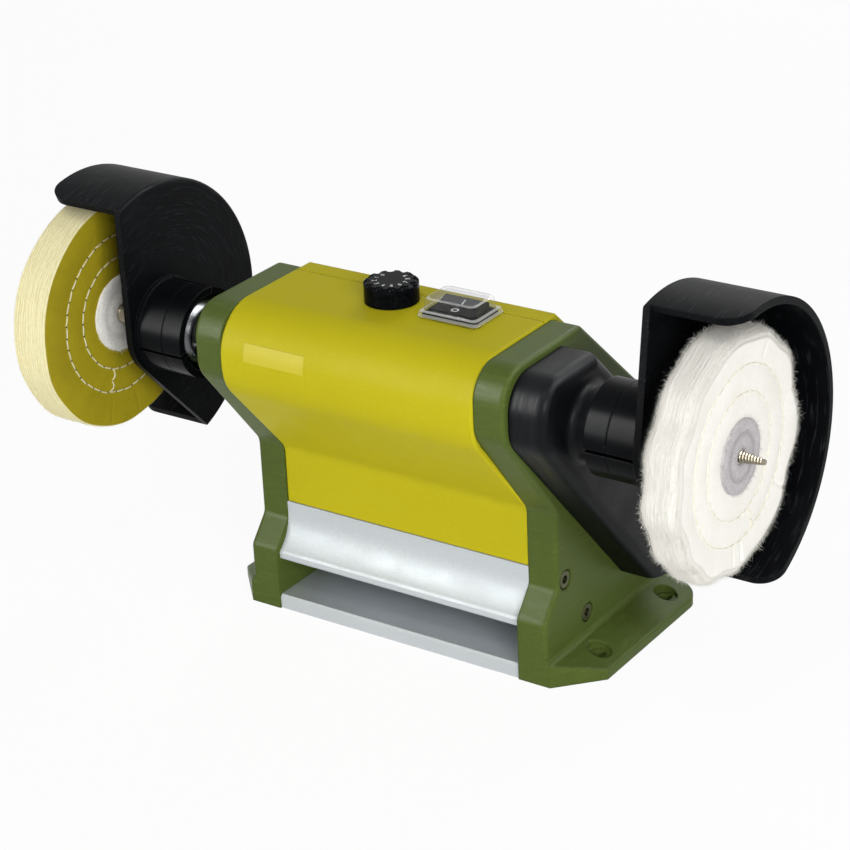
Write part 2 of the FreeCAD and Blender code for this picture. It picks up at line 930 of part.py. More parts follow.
def neck_screw_places(y=SHAFT_Y, z=SHAFT_Z):
    """Three places round the spindle's axis, in the left neck's flange."""
    return [around(angle, d.neck_screw_circle, y, z) for angle in THREE]


def right_plate():
    """The right plate lets the spindle through and carries the motor and the belt cover."""
    body = end_plate(1)
    drill(body, 1, OUTER, [(SHAFT_Y, SHAFT_Z)], d.spindle_window, d.plate_wall)
    drill(body, 1, OUTER, [(MOTOR_Y, MOTOR_Z)], d.motor_pilot, d.plate_wall)
    drill(body, 1, OUTER, motor_screw_places(), d.screw_hole, d.plate_wall)
    drill(body, 1, OUTER, motor_screw_places(), d.head_recess, d.recess_depth)
    drill(body, 1, OUTER, cover_screw_places(), d.small_hole, d.small_length)
    return keep(body, "end_plate_right")


# ---- shell, rear cover, skirt and bottom plate -----------------------------------------------


def shell_prism(proud=0):
    """The solid inside the painted shell, or a little outside it where proud is set."""
    front = SHAFT_Y - d.shell_bulge - proud
    throat = SHAFT_Y + d.plate_throat + d.shell_step - proud
    top = PANEL + proud
    seam = SHAFT_Y + d.seam_back
    bottom = d.skirt_top + d.shell_joint
    points = [
        (seam, bottom),
        (throat, bottom),
        (throat, SHAFT_Z - d.shell_throat_drop),
        (front, SHAFT_Z - d.shell_bulge_drop),
        (front, top),
        (seam, top),
    ]
    body = prism("YZ_Plane", -HALF, points, d.case_width)
    dress(
        body,
        "Fillet",
        d.shell_corner + proud,
        lambda edge: runs(edge, "x", y=front, z=top)
        or runs(edge, "x", y=front, z=SHAFT_Z - d.shell_bulge_drop),
    )
    dress(
        body,
        "Fillet",
        d.throat_corner,
        lambda edge: runs(edge, "x", y=throat, z=SHAFT_Z - d.shell_throat_drop),
    )
    return body


def housing_shell():
    """The painted front shell, open at both ends, below and at the seam."""
    body = shell_prism()
    seam = SHAFT_Y + d.seam_back
    bottom = d.skirt_top + d.shell_joint
    ends = rim(
        body,
        lambda edge: at_either_end(edge)
        and not lies(edge, "y", seam)
        and not lies(edge, "z", bottom),
    )
    hollow(
        body,
        d.shell_wall,
        lambda face: at_either_end(face) or lies(face, "y", seam) or lies(face, "z", bottom),
    )
    dress(body, "Fillet", d.shell_edge, ends)
    cut = d.shell_wall + 2 * LAP
    dial = circle(sketch_on(body, "XY_Plane", PANEL + LAP), -d.dial_left, DIAL_Y, d.pot_bush + d.panel_fit)
    pocket(body, dial, cut)
    half_x = switch_half_width() + d.panel_fit
    half_y = switch_half_depth() + d.panel_fit
    opening = rectangle(d.switch_right, SWITCH_Y, half_x, half_y)
    pocket(body, outline(sketch_on(body, "XY_Plane", PANEL + LAP), opening), cut)
    return keep(body, "housing_shell")


def at_either_end(shape):
    """Whether an edge or face lies against one of the end plates."""
    return lies(shape, "x", HALF) or lies(shape, "x", -HALF)


def rectangle(x, y, half_x, half_y):
    """The corners of a rectangle about a centre."""
    low, high = x - half_x, x + half_x
    near_y, far_y = y - half_y, y + half_y
    return [(low, near_y), (high, near_y), (high, far_y), (low, far_y)]


def rear_cover():
    """The strip behind the seam, the sloping back and the upright back, with vents and a gland."""
    start = SHAFT_Y + d.seam_back + d.seam_gap
    bottom = d.bottom_thickness
    shoulder = SHAFT_Z - d.cover_back_drop
    points = [
        (start, bottom),
        (start, PANEL),
        (SHAFT_Y + d.cover_ridge, PANEL),
        (COVER_BACK, shoulder),
        (COVER_BACK, bottom),
    ]
    body = prism("YZ_Plane", -HALF, points, d.case_width)
    dress(body, "Fillet", d.throat_corner / 2, lambda edge: runs(edge, "x", y=COVER_BACK, z=shoulder))
    ends = rim(
        body,
        lambda edge: at_either_end(edge)
        and not lies(edge, "y", start)
        and not lies(edge, "z", bottom),
    )
    hollow(
        body,
        d.shell_wall,
        lambda face: at_either_end(face) or lies(face, "y", start) or lies(face, "z", bottom),
    )
    dress(body, "Fillet", d.shell_edge, ends)
    cut = d.shell_wall + 2 * LAP
    behind = -(COVER_BACK + LAP)
    for row in range(VENT_ROWS):
        z = shoulder - d.vent_drop - d.vent_pitch * row
        slot = rectangle(d.vent_shift, z, d.vent_width / 2, d.vent_height / 2)
        pocket(body, outline(sketch_on(body, "XZ_Plane", behind), slot), cut, True)
    holes = [(GLAND_X, GLAND_Z, d.gland_thread + d.panel_fit)]
    holes += [(x, z, d.small_hole) for x, z in rear_screw_places()]
    for x, z, radius in holes:
        pocket(body, circle(sketch_on(body, "XZ_Plane", behind), x, z, radius), cut, True)
    return keep(body, "rear_cover")


def rear_screw_places():
    """Two places low on the rear cover, over the skirt's upstand."""
    z = FLOOR + (d.upstand_height - d.floor_thickness) / 2
    return [(side * (HALF - d.rear_screw_inset), z) for side in (-1, 1)]


def rear_screws():
    """Two screws that hold the rear cover to the skirt's upstand."""
    length = d.shell_wall + d.upstand_thickness + 2 * d.screw_tip_gap
    screws = [plain_screw(COVER_BACK, 1, (x, 0, z), "y", length) for x, z in rear_screw_places()]
    return keep(group(screws), "rear_screws")


def seam_strip():
    """A strip bonded under both edges of the seam."""
    y = SHAFT_Y + d.seam_back - d.strip_lap
    lengths = (d.case_width - 2 * d.strip_end_gap, d.strip_width, d.strip_thickness)
    bottom = PANEL - d.shell_wall - d.strip_thickness
    return keep(box_at(lengths, (d.strip_end_gap - HALF, y, bottom)), "seam_strip")


def name_plate():
    """A bare label that follows the curve of the shell's upper front."""
    skin = without(shell_prism(d.plate_label_thickness), [shell_prism()])
    lengths = (d.plate_label_length, d.shell_corner, d.plate_label_height)
    corner = (d.plate_label_inset - HALF, SHAFT_Y - d.shell_bulge - LAP, SHAFT_Z + d.plate_label_rise)
    window = box_at(lengths, corner)
    plate = doc.addObject("Part::Common", "Common")
    plate.Base = skin
    plate.Tool = window
    return keep(plate, "name_plate")


def skirt():
    """An aluminium extrusion: coved front wall, motor floor and two screw channels."""
    wall = SHAFT_Y + d.plate_throat + d.skirt_step
    lip = TOE + d.lip_setback
    back = COVER_BACK - d.shell_wall
    inner = wall + d.skirt_depth
    channel = SHAFT_Y + d.lower_screw_back
    points = [
        (wall, d.skirt_top),
        (wall, d.cove_top, d.cove_radius, -1),
        (lip + d.lip_lean, d.cove_foot),
        (lip, d.lip_bottom + d.lip_rise),
        (lip, d.lip_bottom + d.lip_bevel),
        (lip + d.lip_bevel, d.lip_bottom),
        (channel - d.channel_width / 2, d.lip_bottom),
        (channel - d.channel_width / 2, d.lip_bottom - d.channel_drop),
        (channel + d.channel_width / 2, d.lip_bottom - d.channel_drop),
        (channel + d.channel_width / 2, d.lip_bottom),
        (back, d.lip_bottom),
        (back, d.lip_bottom + d.upstand_height),
        (back - d.upstand_thickness, d.lip_bottom + d.upstand_height),
        (back - d.upstand_thickness, FLOOR),
        (inner, FLOOR),
        (inner, d.skirt_top),
    ]
    body = prism("YZ_Plane", -HALF, points, d.case_width)
    cell_floor = FLOOR + d.skirt_cell_floor
    cell_top = d.upper_screw_height - d.skirt_screw_wall
    cell = [
        (wall + d.lip_bevel, cell_floor),
        (inner - d.skirt_web, cell_floor),
        (inner - d.skirt_web, cell_top),
        (wall + d.skirt_front_wall, cell_top),
    ]
    pocket(body, outline(sketch_on(body, "YZ_Plane", HALF), cell), d.case_width)
    for side in (-1, 1):
        drill(body, side, HALF, case_screw_places(), d.screw_shank, d.screw_length)
    for x, z in rear_screw_places():
        hole = circle(sketch_on(body, "XZ_Plane", -back), x, z, d.small_shank)
        pocket(body, hole, d.upstand_thickness, True)
    return keep(body, "skirt")


def bottom_plate():
    """The aluminium plate under the slot, with a tongue under each end plate."""
    front = TOE + d.bottom_setback
    back = COVER_BACK
    start = SHAFT_Y + d.tongue_front
    end = SHAFT_Y + d.tongue_back
    reach = HALF + d.tongue_depth
    points = [
        (-HALF, front),
        (HALF, front),
        (HALF, start),
        (reach, start),
        (reach, end),
        (HALF, end),
        (HALF, back),
        (-HALF, back),
        (-HALF, end),
        (-reach, end),
        (-reach, start),
        (-HALF, start),
    ]
    body = prism("XY_Plane", 0, points, d.bottom_thickness)
    dress(body, "Chamfer", d.lip_bevel, lambda edge: runs(edge, "x", y=front, z=d.bottom_thickness))
    for side in (-1, 1):
        for x, y in bottom_screw_places():
            hole = circle(sketch_on(body, "XY_Plane", 0), side * x, y, d.small_hole)
            pocket(body, hole, d.bottom_thickness, True)
            seat = circle(sketch_on(body, "XY_Plane", 0), side * x, y, d.small_head + d.head_clearance)
            pocket(body, seat, d.small_head_length + d.head_sink, True)
    return keep(body, "bottom_plate")


def bottom_screws():
    """Four screws that hold the bottom plate's tongues up into the end plates."""
    seat = d.small_head_length + d.head_sink
    length = d.bottom_thickness + d.small_length - d.screw_tip_gap - seat
    places = [(side * x, y, 0) for side in (-1, 1) for x, y in bottom_screw_places()]
    return keep(group([plain_screw(seat, -1, at, "z", length) for at in places]), "bottom_screws")


def case_screws():
    """The two socket-head screws in each end plate, which hold the skirt."""
    face = OUTER - d.recess_depth
    sizes = (d.screw_head, d.screw_head_length, d.screw_shank, d.screw_length)
    screws = [socket_screw(face, y, z, side, *sizes) for side in (-1, 1) for y, z in case_screw_places()]
    return keep(group(screws), "case_screws")


# ---- belt cover, left neck and bearings ------------------------------------------------------


def belt_cover():
    """The hollow cover on the right end, with the neck that carries bearing and guard."""
    front = SHAFT_Y - d.belt_cover_front
    top = SHAFT_Z + d.belt_cover_top
    back = SHAFT_Y + d.belt_cover_back
    foot = SHAFT_Y + d.belt_cover_foot_back
    ridge = SHAFT_Y + d.belt_cover_ridge
    turn = SHAFT_Z - d.belt_cover_fall
    shoulder = top - (back - ridge)
    points = [
        (foot, d.belt_cover_bottom),
        (front, turn),
        (front, top),
        (ridge, top),
        (back, shoulder),
        (back, d.belt_cover_bottom),
    ]
    body = prism("YZ_Plane", OUTER, points, d.belt_cover_depth)
    dress(
        body,
        "Fillet",
        d.belt_cover_corner,
        lambda edge: runs(edge, "x", y=front, z=turn) or runs(edge, "x", y=front, z=top),
    )
    dress(
        body,
        "Fillet",
        d.belt_cover_bend,
        lambda edge: runs(edge, "x", y=ridge, z=top) or runs(edge, "x", y=back, z=shoulder),
    )
    face_edges = rim(
        body,
        lambda edge: lies(edge, "x", COVER_FACE) and not lies(edge, "z", d.belt_cover_bottom),
    )
    hollow(body, d.belt_cover_wall, lambda face: lies(face, "x", OUTER))
    dress(body, "Fillet", d.belt_cover_edge, face_edges)
    axis = (SHAFT_Y, SHAFT_Z)
    start = COVER_FACE - LAP
    pad(body, circle(sketch_on(body, "YZ_Plane", start), *axis, d.neck_radius), RIGHT_NECK - start)
    dress(
        body,
        "Fillet",
        d.neck_root,
        lambda edge: lies(edge, "x", COVER_FACE) and near(edge.BoundBox.ZMax, SHAFT_Z + d.neck_radius),
    )
    seat = sketch_on(body, "YZ_Plane", RIGHT_NECK - d.seat_length)
    pad(body, circle(seat, *axis, d.seat_radius), d.seat_length)
    bore_neck(body, 1, RIGHT_NECK, RIGHT_NECK - COVER_FACE + d.belt_cover_wall + LAP)
    for y, z in cover_screw_places():
        post = circle(sketch_on(body, "YZ_Plane", OUTER), y, z, d.small_head + d.cover_post_wall)
        pad(body, post, d.belt_cover_depth - LAP)
        hole = circle(sketch_on(body, "YZ_Plane", COVER_FACE), y, z, d.small_hole)
        pocket(body, hole, d.belt_cover_depth)
        head = circle(sketch_on(body, "YZ_Plane", COVER_FACE), y, z, d.small_head + d.head_clearance)
        pocket(body, head, d.small_head_length + d.cover_head_sink)
    return keep(body, "belt_cover")


def bore_neck(body, side, end, length):
    """The bearing seat in a neck's end and the spindle's clearance hole behind it."""
    axis = [(SHAFT_Y, SHAFT_Z)]
    depth = d.bearing_inset + d.bearing_width
    drill(body, side, end, axis, d.spindle_window, length)
    drill(body, side, end, axis, d.bearing_radius, depth)


def cover_screws():
    """Three screws that hold the belt cover to the right end plate."""
    face = COVER_FACE - d.small_head_length - d.cover_head_sink
    length = face - OUTER + d.small_length - d.screw_tip_gap
    sizes = (d.small_head, d.small_head_length, d.small_shank, length)
    screws = [socket_screw(face, y, z, 1, *sizes) for y, z in cover_screw_places()]
    return keep(group(screws), "cover_screws")


def left_neck():
    """A turned tube with a flange inside the case, pushed out through the left boss."""
    end = LEFT_NECK
    seat = end - d.seat_length
    pocket_floor = end - d.bearing_inset - d.bearing_width
    profile = [
        (-(HALF - d.neck_flange_thickness), d.spindle_window),
        (-(HALF - d.neck_flange_thickness), d.neck_flange),
        (-HALF, d.neck_flange),
        (-HALF, d.left_tube_radius),
        (-seat, d.left_tube_radius),
        (-seat, d.seat_radius),
        (-end, d.seat_radius),
        (-end, d.bearing_radius),
        (-pocket_floor, d.bearing_radius),
        (-pocket_floor, d.spindle_window),
    ]
    body = turned(profile, (0, SHAFT_Y, SHAFT_Z))
    for y, z in neck_screw_places(0, 0):
        hole = circle(sketch_on(body, "YZ_Plane", -(HALF - d.neck_flange_thickness)), y, z, d.small_hole)
        pocket(body, hole, d.neck_flange_thickness)
    return keep(body, "neck_left")


def neck_screws():
    """Three screws that hold the left neck's flange inside the left end plate."""
    face = d.neck_flange_thickness - HALF
    length = d.neck_flange_thickness + d.small_length - d.screw_tip_gap
    screws = [plain_screw(face, 1, (0, y, z), "x", length) for y, z in neck_screw_places()]
    return keep(group(screws), "neck_screws")


def bearing(side, end):
    """A shielded ball bearing: outer ring, inner ring and the shields between them."""
    start = end - d.bearing_inset - d.bearing_width
    outer = side * (start + d.bearing_width)
    inner = side * start
    outer_race = d.bearing_radius - d.bearing_race
    inner_race = d.journal_radius + d.bearing_race
    step = side * d.bearing_shield_step
    profiles = [
        ring(inner, outer, outer_race, d.bearing_radius),
        ring(inner + step, outer - step, inner_race, outer_race),
        ring(inner, outer, d.journal_radius + d.bearing_fit, inner_race),
    ]
    solids = [turned(profile, (0, SHAFT_Y, SHAFT_Z)) for profile in profiles]
    return keep(group(solids), "bearing_left" if side < 0 else "bearing_right")


def bearing_cap(side, end):
    """A pressed dust cap that closes the bearing seat."""
    start = side * (end - d.bearing_inset)
    stop = side * (end - d.bearing_inset + d.cap_thickness)
    lip = start + side * d.cap_lip
    profile = [
        (start, d.bearing_radius - d.cap_wall),
        (start, d.bearing_radius),
        (stop, d.bearing_radius),
        (stop, d.journal_radius + d.running_gap),
        (lip, d.journal_radius + d.running_gap),
        (lip, d.bearing_radius - d.cap_wall),
    ]
    label = "bearing_cap_left" if side < 0 else "bearing_cap_right"
    return keep(turned(profile, (0, SHAFT_Y, SHAFT_Z)), label)


# ---- spindle, pulley and buffs ---------------------------------------------------------------


def taper_at(x):
    """The radius of the threaded taper at a distance from the middle."""
    slope = (d.taper_radius - d.taper_tip_radius) / (d.taper_tip - d.taper_start)
    return d.taper_radius - slope * (x - d.taper_start)


def spindle():
    """One steel shaft: shoulder between the bearings, journals and a screw taper at each end."""
    left = LEFT_NECK - d.bearing_inset - d.bearing_width
    right = RIGHT_NECK - d.bearing_inset - d.bearing_width
    profile = [
        (-d.taper_tip, 0),
        (-d.taper_tip, d.taper_tip_radius),
        (-d.taper_start, d.taper_radius),
        (-(d.taper_start - d.taper_relief), d.journal_radius),
        (-left, d.journal_radius),
        (-left, d.shoulder_radius),
        (right, d.shoulder_radius),
        (right, d.journal_radius),
        (d.taper_start - d.taper_relief, d.journal_radius),
        (d.taper_start, d.taper_radius),
        (d.taper_tip, d.taper_tip_radius),
        (d.taper_tip, 0),
    ]
    return keep(turned(profile, (0, SHAFT_Y, SHAFT_Z)), "spindle")


def spindle_pulley():
    """The large pulley, with its outboard face turned out to a web."""
    start = PULLEY
    end = start + d.pulley_width
    middle = start + d.pulley_width / 2
    hub = d.shoulder_radius + d.pulley_hub
    inside = d.spindle_pulley_radius - d.pulley_rim
    profile = [
        (start, d.shoulder_radius),
        (start, d.spindle_pulley_radius),
        (end, d.spindle_pulley_radius),
        (end, inside),
        (middle + d.pulley_web, inside),
        (middle + d.pulley_web, hub),
        (end, hub),
        (end, d.shoulder_radius),
    ]
    return keep(turned(profile, (0, SHAFT_Y, SHAFT_Z)), "spindle_pulley")


def buff(side, face, width, flare, label):
    """A stitched cloth wheel screwed onto the taper by its centre. Its free rim flares out."""
    start = side * face
    end = side * (face + width)
    rim_start = start - side * flare
    rim_end = end + side * flare
    edge = d.buff_radius
    profile = [
        (start, taper_at(face)),
        (start, d.buff_flare_start),
        (rim_start, edge - d.buff_round),
        (rim_start + side * d.buff_round, edge),
        (rim_end - side * d.buff_round, edge),
        (rim_end, edge - d.buff_round),
        (end, d.buff_flare_start),
        (end, taper_at(face + width)),
    ]
    return keep(turned(profile, (0, SHAFT_Y, SHAFT_Z)), label)


def hub_discs(side, face, width, radius, label):
    """The two hard fibre discs riveted through the middle of a buff."""
    discs = []
    for near_face in (face - d.hub_disc_thickness, face + width):
        far = near_face + d.hub_disc_thickness
        profile = [
            (side * near_face, taper_at(near_face)),
            (side * near_face, radius),
            (side * far, radius),
            (side * far, taper_at(far)),
        ]
        discs.append(turned(profile, (0, SHAFT_Y, SHAFT_Z)))
    return keep(group(discs), label)


# ---- guards ----------------------------------------------------------------------------------


def guard(side, face, tilt, label):
    """A half-round guard with the split collar that grips the neck, drawn upright, then tilted."""
    body = new_body((side * face, SHAFT_Y, SHAFT_Z), (1, 0, 0), tilt)
    radius = d.guard_radius
    inner = radius - d.guard_wall
    hub = d.guard_hub
    touch_y = -(hub * root(radius * radius - hub * hub) / radius)
    touch_z = hub * hub / radius
    plate = [
        (0, radius),
        (touch_y, touch_z, hub, 1),
        (-hub, 0, hub, 1),
        (touch_y, -touch_z),
        (0, -radius, radius, 1),
        (radius, 0, radius, 1),
    ]
    pad(body, outline(sketch_on(body, "YZ_Plane"), plate), d.guard_wall, side < 0)
    wall = [
        (0, -radius, radius, 1),
        (radius, 0, radius, 1),
        (0, radius),
        (0, inner, inner, -1),
        (inner, 0, inner, -1),
        (0, -inner),
    ]
    pad(body, outline(sketch_on(body, "YZ_Plane"), wall), d.guard_width, side < 0)
    dress(body, "Fillet", d.guard_edge, lambda edge: lies(edge, "x", 0) and edge.BoundBox.YMin > -0.1)
    dress(
        body,
        "Fillet",
        d.guard_lip_corner,
        lambda edge: lies(edge, "x", side * d.guard_width) and lies(edge, "y", 0),
    )
    collar = circle(sketch_on(body, "YZ_Plane", side * LAP), 0, 0, d.collar_radius)
    pad(body, collar, d.collar_length + LAP, side > 0)
    foot = circle(sketch_on(body, "YZ_Plane", side * LAP), 0, 0, d.collar_radius + d.collar_foot)
    pad(body, foot, d.collar_foot_length + LAP, side > 0)
    drill_local(body, side, -d.collar_length, d.seat_radius + d.collar_fit, d.collar_length)
    drill_local(body, side, -LAP, d.guard_window, d.guard_wall + 2 * LAP)
    groove = ring(
        side * (d.collar_line_inset - d.collar_length),
        side * (d.collar_line_inset - d.collar_length + d.collar_line_depth),
        d.collar_radius - d.collar_line_depth,
        d.collar_radius + LAP,
    )
    sketch = outline(sketch_on(body, "XY_Plane"), groove)
    cut = body.newObject("PartDesign::Groove", "Groove")
    cut.Profile = sketch
    cut.ReferenceAxis = (sketch, ["H_Axis"])
    cut.Angle = 360
    half = d.collar_slit / 2
    for step in range(COLLAR_SLITS):
        angle = 90 + d.collar_slit_angle + 360 / COLLAR_SLITS * step
        slit = radial_strip(angle, d.seat_radius - LAP, d.collar_radius + LAP, half)
        sketch = outline(sketch_on(body, "YZ_Plane", -side * (d.collar_length + LAP)), slit)
        pocket(body, sketch, d.collar_length, side > 0)
    return keep(body, label)


def radial_strip(angle, inner, outer, half):
    """The corners of a straight strip that runs outwards at an angle."""
    across_y, across_z = half * sine(angle), half * cosine(angle)
    return [
        around(angle, outer, across_y, -across_z),
        around(angle, outer, -across_y, across_z),
        around(angle, inner, -across_y, across_z),
        around(angle, inner, across_y, -across_z),
    ]


def drill_local(body, side, start, radius, depth):
    """A hole on a body's own axis, from a place inboard of its plate, running outwards."""
    pocket(body, circle(sketch_on(body, "YZ_Plane", side * start), 0, 0, radius), depth, side > 0)


# ---- belt and motor --------------------------------------------------------------------------


def drive_belt():
    """An endless belt round both pulleys, as the band between two offset outlines."""
    body = new_body()
    start = PULLEY + (d.pulley_width - d.belt_width) / 2
    inner = belt_loop(d.belt_gap)
    outer = belt_loop(d.belt_gap + d.belt_thickness)
    pad(body, outline(sketch_on(body, "YZ_Plane", start), outer), d.belt_width)
    pocket(body, outline(sketch_on(body, "YZ_Plane", start + d.belt_width), inner), d.belt_width)
    return keep(body, "drive_belt")


def belt_loop(offset):
    """The two tangent lines and two arcs of a belt that runs a distance outside the pulleys."""
    large = d.spindle_pulley_radius + offset
    small = d.motor_pulley_radius + offset
    span = root(d.motor_back * d.motor_back + MOTOR_DROP * MOTOR_DROP)
    along_y = d.motor_back / span
    along_z = -MOTOR_DROP / span
    lean = (large - small) / span
    rise = root(1 - lean * lean)
    points = []
    for y, z, radius in ((SHAFT_Y, SHAFT_Z, large), (MOTOR_Y, MOTOR_Z, small)):
        for hand in (1, -1):
            normal_y = along_y * lean - along_z * rise * hand
            normal_z = along_z * lean + along_y * rise * hand
            points.append((y + normal_y * radius, z + normal_z * radius))
    high_far, low_far, high_near, low_near = points
    crown = (SHAFT_Y - along_y * large, SHAFT_Z - along_z * large)
    toe = (MOTOR_Y + along_y * small, MOTOR_Z + along_z * small)
    return [
        (*high_far, large, 1),
        (*crown, large, 1),
        low_far,
        (*low_near, small, 1),
        (*toe, small, 1),
        high_near,
    ]


def motor_can():
    """The drawn steel can with its rear wall, open towards the end plate."""
    inner = d.motor_radius - d.motor_wall
    boss_end = MOTOR_REAR + d.motor_bearing_width + d.motor_boss_step
    boss = d.motor_bearing_radius + d.motor_boss_wall
    profile = [
        (MOTOR_FRONT, inner),
        (MOTOR_FRONT, d.motor_radius),
        (MOTOR_REAR, d.motor_radius),
        (MOTOR_REAR, d.motor_bearing_radius),
        (boss_end, d.motor_bearing_radius),
        (boss_end, boss),
        (MOTOR_REAR + d.motor_wall, boss),
        (MOTOR_REAR + d.motor_wall, inner),
    ]
    return keep(turned(profile, (0, MOTOR_Y, MOTOR_Z)), "motor_can")


def motor_shield():
    """The cast front shield, whose pilot sits in the end plate."""
    end = HALF + d.motor_pilot_length
    seat = MOTOR_FRONT + d.motor_bearing_width
    pilot = d.motor_pilot - d.motor_pilot_fit
    bore = d.motor_shaft_radius + d.motor_shaft_room
    profile = [
        (MOTOR_FRONT, d.motor_bearing_radius),
        (MOTOR_FRONT, d.motor_radius),
        (HALF, d.motor_radius),
        (HALF, pilot),
        (end, pilot),
        (end, bore),
        (seat, bore),
        (seat, d.motor_bearing_radius),
    ]
    body = turned(profile, (0, MOTOR_Y, MOTOR_Z))
    depth = d.motor_shield - d.screw_tip_gap
    for y, z in motor_screw_places(0, 0):
        pocket(body, circle(sketch_on(body, "YZ_Plane", HALF), y, z, d.screw_shank), depth)
    return keep(body, "motor_shield")


def motor_screws():
    """Three screws through the right end plate into the motor's front shield."""
    face = OUTER - d.recess_depth
    length = face - HALF + d.motor_shield - 2 * d.screw_tip_gap
    sizes = (d.screw_head, d.screw_head_length, d.screw_shank, length)
    screws = [socket_screw(face, y, z, 1, *sizes) for y, z in motor_screw_places()]
    return keep(group(screws), "motor_screws")


def motor_magnets():
    """Two curved magnets bonded into the can."""
    outer = d.motor_radius - d.motor_wall
    profile = ring(ARMATURE_START, ARMATURE_END, outer - d.magnet_thickness, outer)
    gap = d.magnet_spacing
    lengths = (ARMATURE_END - ARMATURE_START + 2 * LAP, gap, d.motor_radius * 2)
    slot = box_at(lengths, (ARMATURE_START - LAP, MOTOR_Y - gap / 2, MOTOR_Z - d.motor_radius))
    return keep(without(turned(profile, (0, MOTOR_Y, MOTOR_Z)), [slot]), "motor_magnets")


def motor_bearings():
    """One bearing in the front shield and one in the can's rear boss."""
    bore = d.motor_shaft_radius + d.bearing_fit
    rings = [
        ring(start, start + d.motor_bearing_width, bore, d.motor_bearing_radius)
        for start in (MOTOR_FRONT, MOTOR_REAR)
    ]
    return keep(group([turned(profile, (0, MOTOR_Y, MOTOR_Z)) for profile in rings]), "motor_bearings")


def motor_shaft():
    """The rotor's shaft, from the can's rear boss to the small pulley."""
    start = MOTOR_REAR - d.motor_shaft_tail
    end = PULLEY + d.pulley_width + d.motor_shaft_proud
    return keep(turned(rod(start, end, d.motor_shaft_radius), (0, MOTOR_Y, MOTOR_Z)), "motor_shaft")


def armature():
    """The slotted core with its windings and the commutator, on the motor shaft."""
    outer = d.motor_radius - d.motor_wall - d.magnet_thickness - d.armature_gap
    winding = outer - d.winding_depth
    winding_start = ARMATURE_START - d.winding_overhang
    winding_end = ARMATURE_END + d.winding_end
    commutator_start = winding_start - d.commutator_length
    profile = [
        (commutator_start, d.motor_shaft_radius),
        (commutator_start, d.commutator_radius),
        (winding_start, d.commutator_radius),
        (winding_start, winding),
        (ARMATURE_START, winding),
        (ARMATURE_START, outer),
        (ARMATURE_END, outer),
        (ARMATURE_END, winding),
        (winding_end, winding - d.winding_bevel),
        (winding_end, d.motor_shaft_radius),
    ]
    return keep(turned(profile, (0, MOTOR_Y, MOTOR_Z)), "armature")


def motor_fan():
    """A moulded disc with eight blades, between the armature and the front shield."""
    hub = d.motor_shaft_radius + d.fan_hub
    end = FAN_START + d.fan_width
    profile = [
        (FAN_START, d.motor_shaft_radius),
        (FAN_START, d.fan_radius),
        (FAN_START + d.fan_disc, d.fan_radius),
        (FAN_START + d.fan_disc, hub),
        (end, hub),
        (end, d.motor_shaft_radius),
    ]
    body = turned(profile, (0, MOTOR_Y, MOTOR_Z))
    half = d.fan_blade / 2
    root_at = FAN_START + d.fan_disc / 2
    for step in range(FAN_BLADES):
        blade = radial_strip(360 / FAN_BLADES * step, hub - half, d.fan_radius - half, half)
        pad(body, outline(sketch_on(body, "YZ_Plane", root_at), blade), end - root_at)
    return keep(body, "motor_fan")


def motor_brushes():
    """Two carbon brushes in the can that run on the commutator."""
    commutator_end = ARMATURE_START - d.winding_overhang
    x = commutator_end - (d.commutator_length + d.brush_width) / 2
    low = d.commutator_radius + d.brush_gap
    length = d.motor_radius - d.motor_wall - low
    lengths = (d.brush_width, d.brush_width, length)
    y = MOTOR_Y - d.brush_width / 2
    brushes = [
        box_at(lengths, (x, y, MOTOR_Z + low)),
        box_at(lengths, (x, y, MOTOR_Z - low - length)),
    ]
    inside = rod_at(low, d.brush_width, (x, MOTOR_Y, MOTOR_Z), "x")
    wall = ring(x, x + d.brush_width, d.motor_radius - d.motor_wall, d.motor_radius * 2)
    outside = turned(wall, (0, MOTOR_Y, MOTOR_Z))
    return keep(group([without(item, [inside, outside]) for item in brushes]), "motor_brushes")


def motor_pulley():
    """The small pulley, with a flange at each side of the belt."""
    start = PULLEY
    end = start + d.pulley_width
    profile = [
        (start, d.motor_shaft_radius),
        (start, d.flange_radius),
        (start + d.flange_thickness, d.flange_radius),
        (start + d.flange_thickness, d.motor_pulley_radius),
        (end - d.flange_thickness, d.motor_pulley_radius),
        (end - d.flange_thickness, d.flange_radius),
        (end, d.flange_radius),
        (end, d.motor_shaft_radius),
    ]
    return keep(turned(profile, (0, MOTOR_Y, MOTOR_Z)), "motor_pulley")


# ---- speed control ---------------------------------------------------------------------------


def speed_dial():
    """The dial: a hollow cap with a bore for the shaft and a ring of finger dimples."""
    base = PANEL + d.dial_gap
    top = PANEL + d.dial_gap + d.dial_height
    hollow_top = base + d.nut_thickness + d.dial_nut_room
    bore_top = top - d.dial_roof
    inner = d.dial_radius - d.dial_skirt
    profile = [
        (base, inner),
        (base, d.dial_radius),
        (top - d.dial_edge, d.dial_radius),
        (top, d.dial_radius - d.dial_edge),
        (top, 0),
        (bore_top, 0),
        (bore_top, d.pot_shaft),
        (hollow_top, d.pot_shaft),
        (hollow_top, inner),
    ]
    cap = turned(profile, (-d.dial_left, DIAL_Y, 0), "z")
    dimples = []
    for step in range(DIMPLES):
        angle = d.dimple_start + 360 / DIMPLES * step
        ball = doc.addObject("Part::Sphere", "Sphere")
        bind(ball, "Radius", d.dimple_radius)
        reach = d.dial_radius - d.dimple_inset
        put(ball, (-d.dial_left + reach * cosine(angle), DIAL_Y + reach * sine(angle), top))
        dimples.append(ball)
    return keep(without(cap, dimples), "speed_dial")


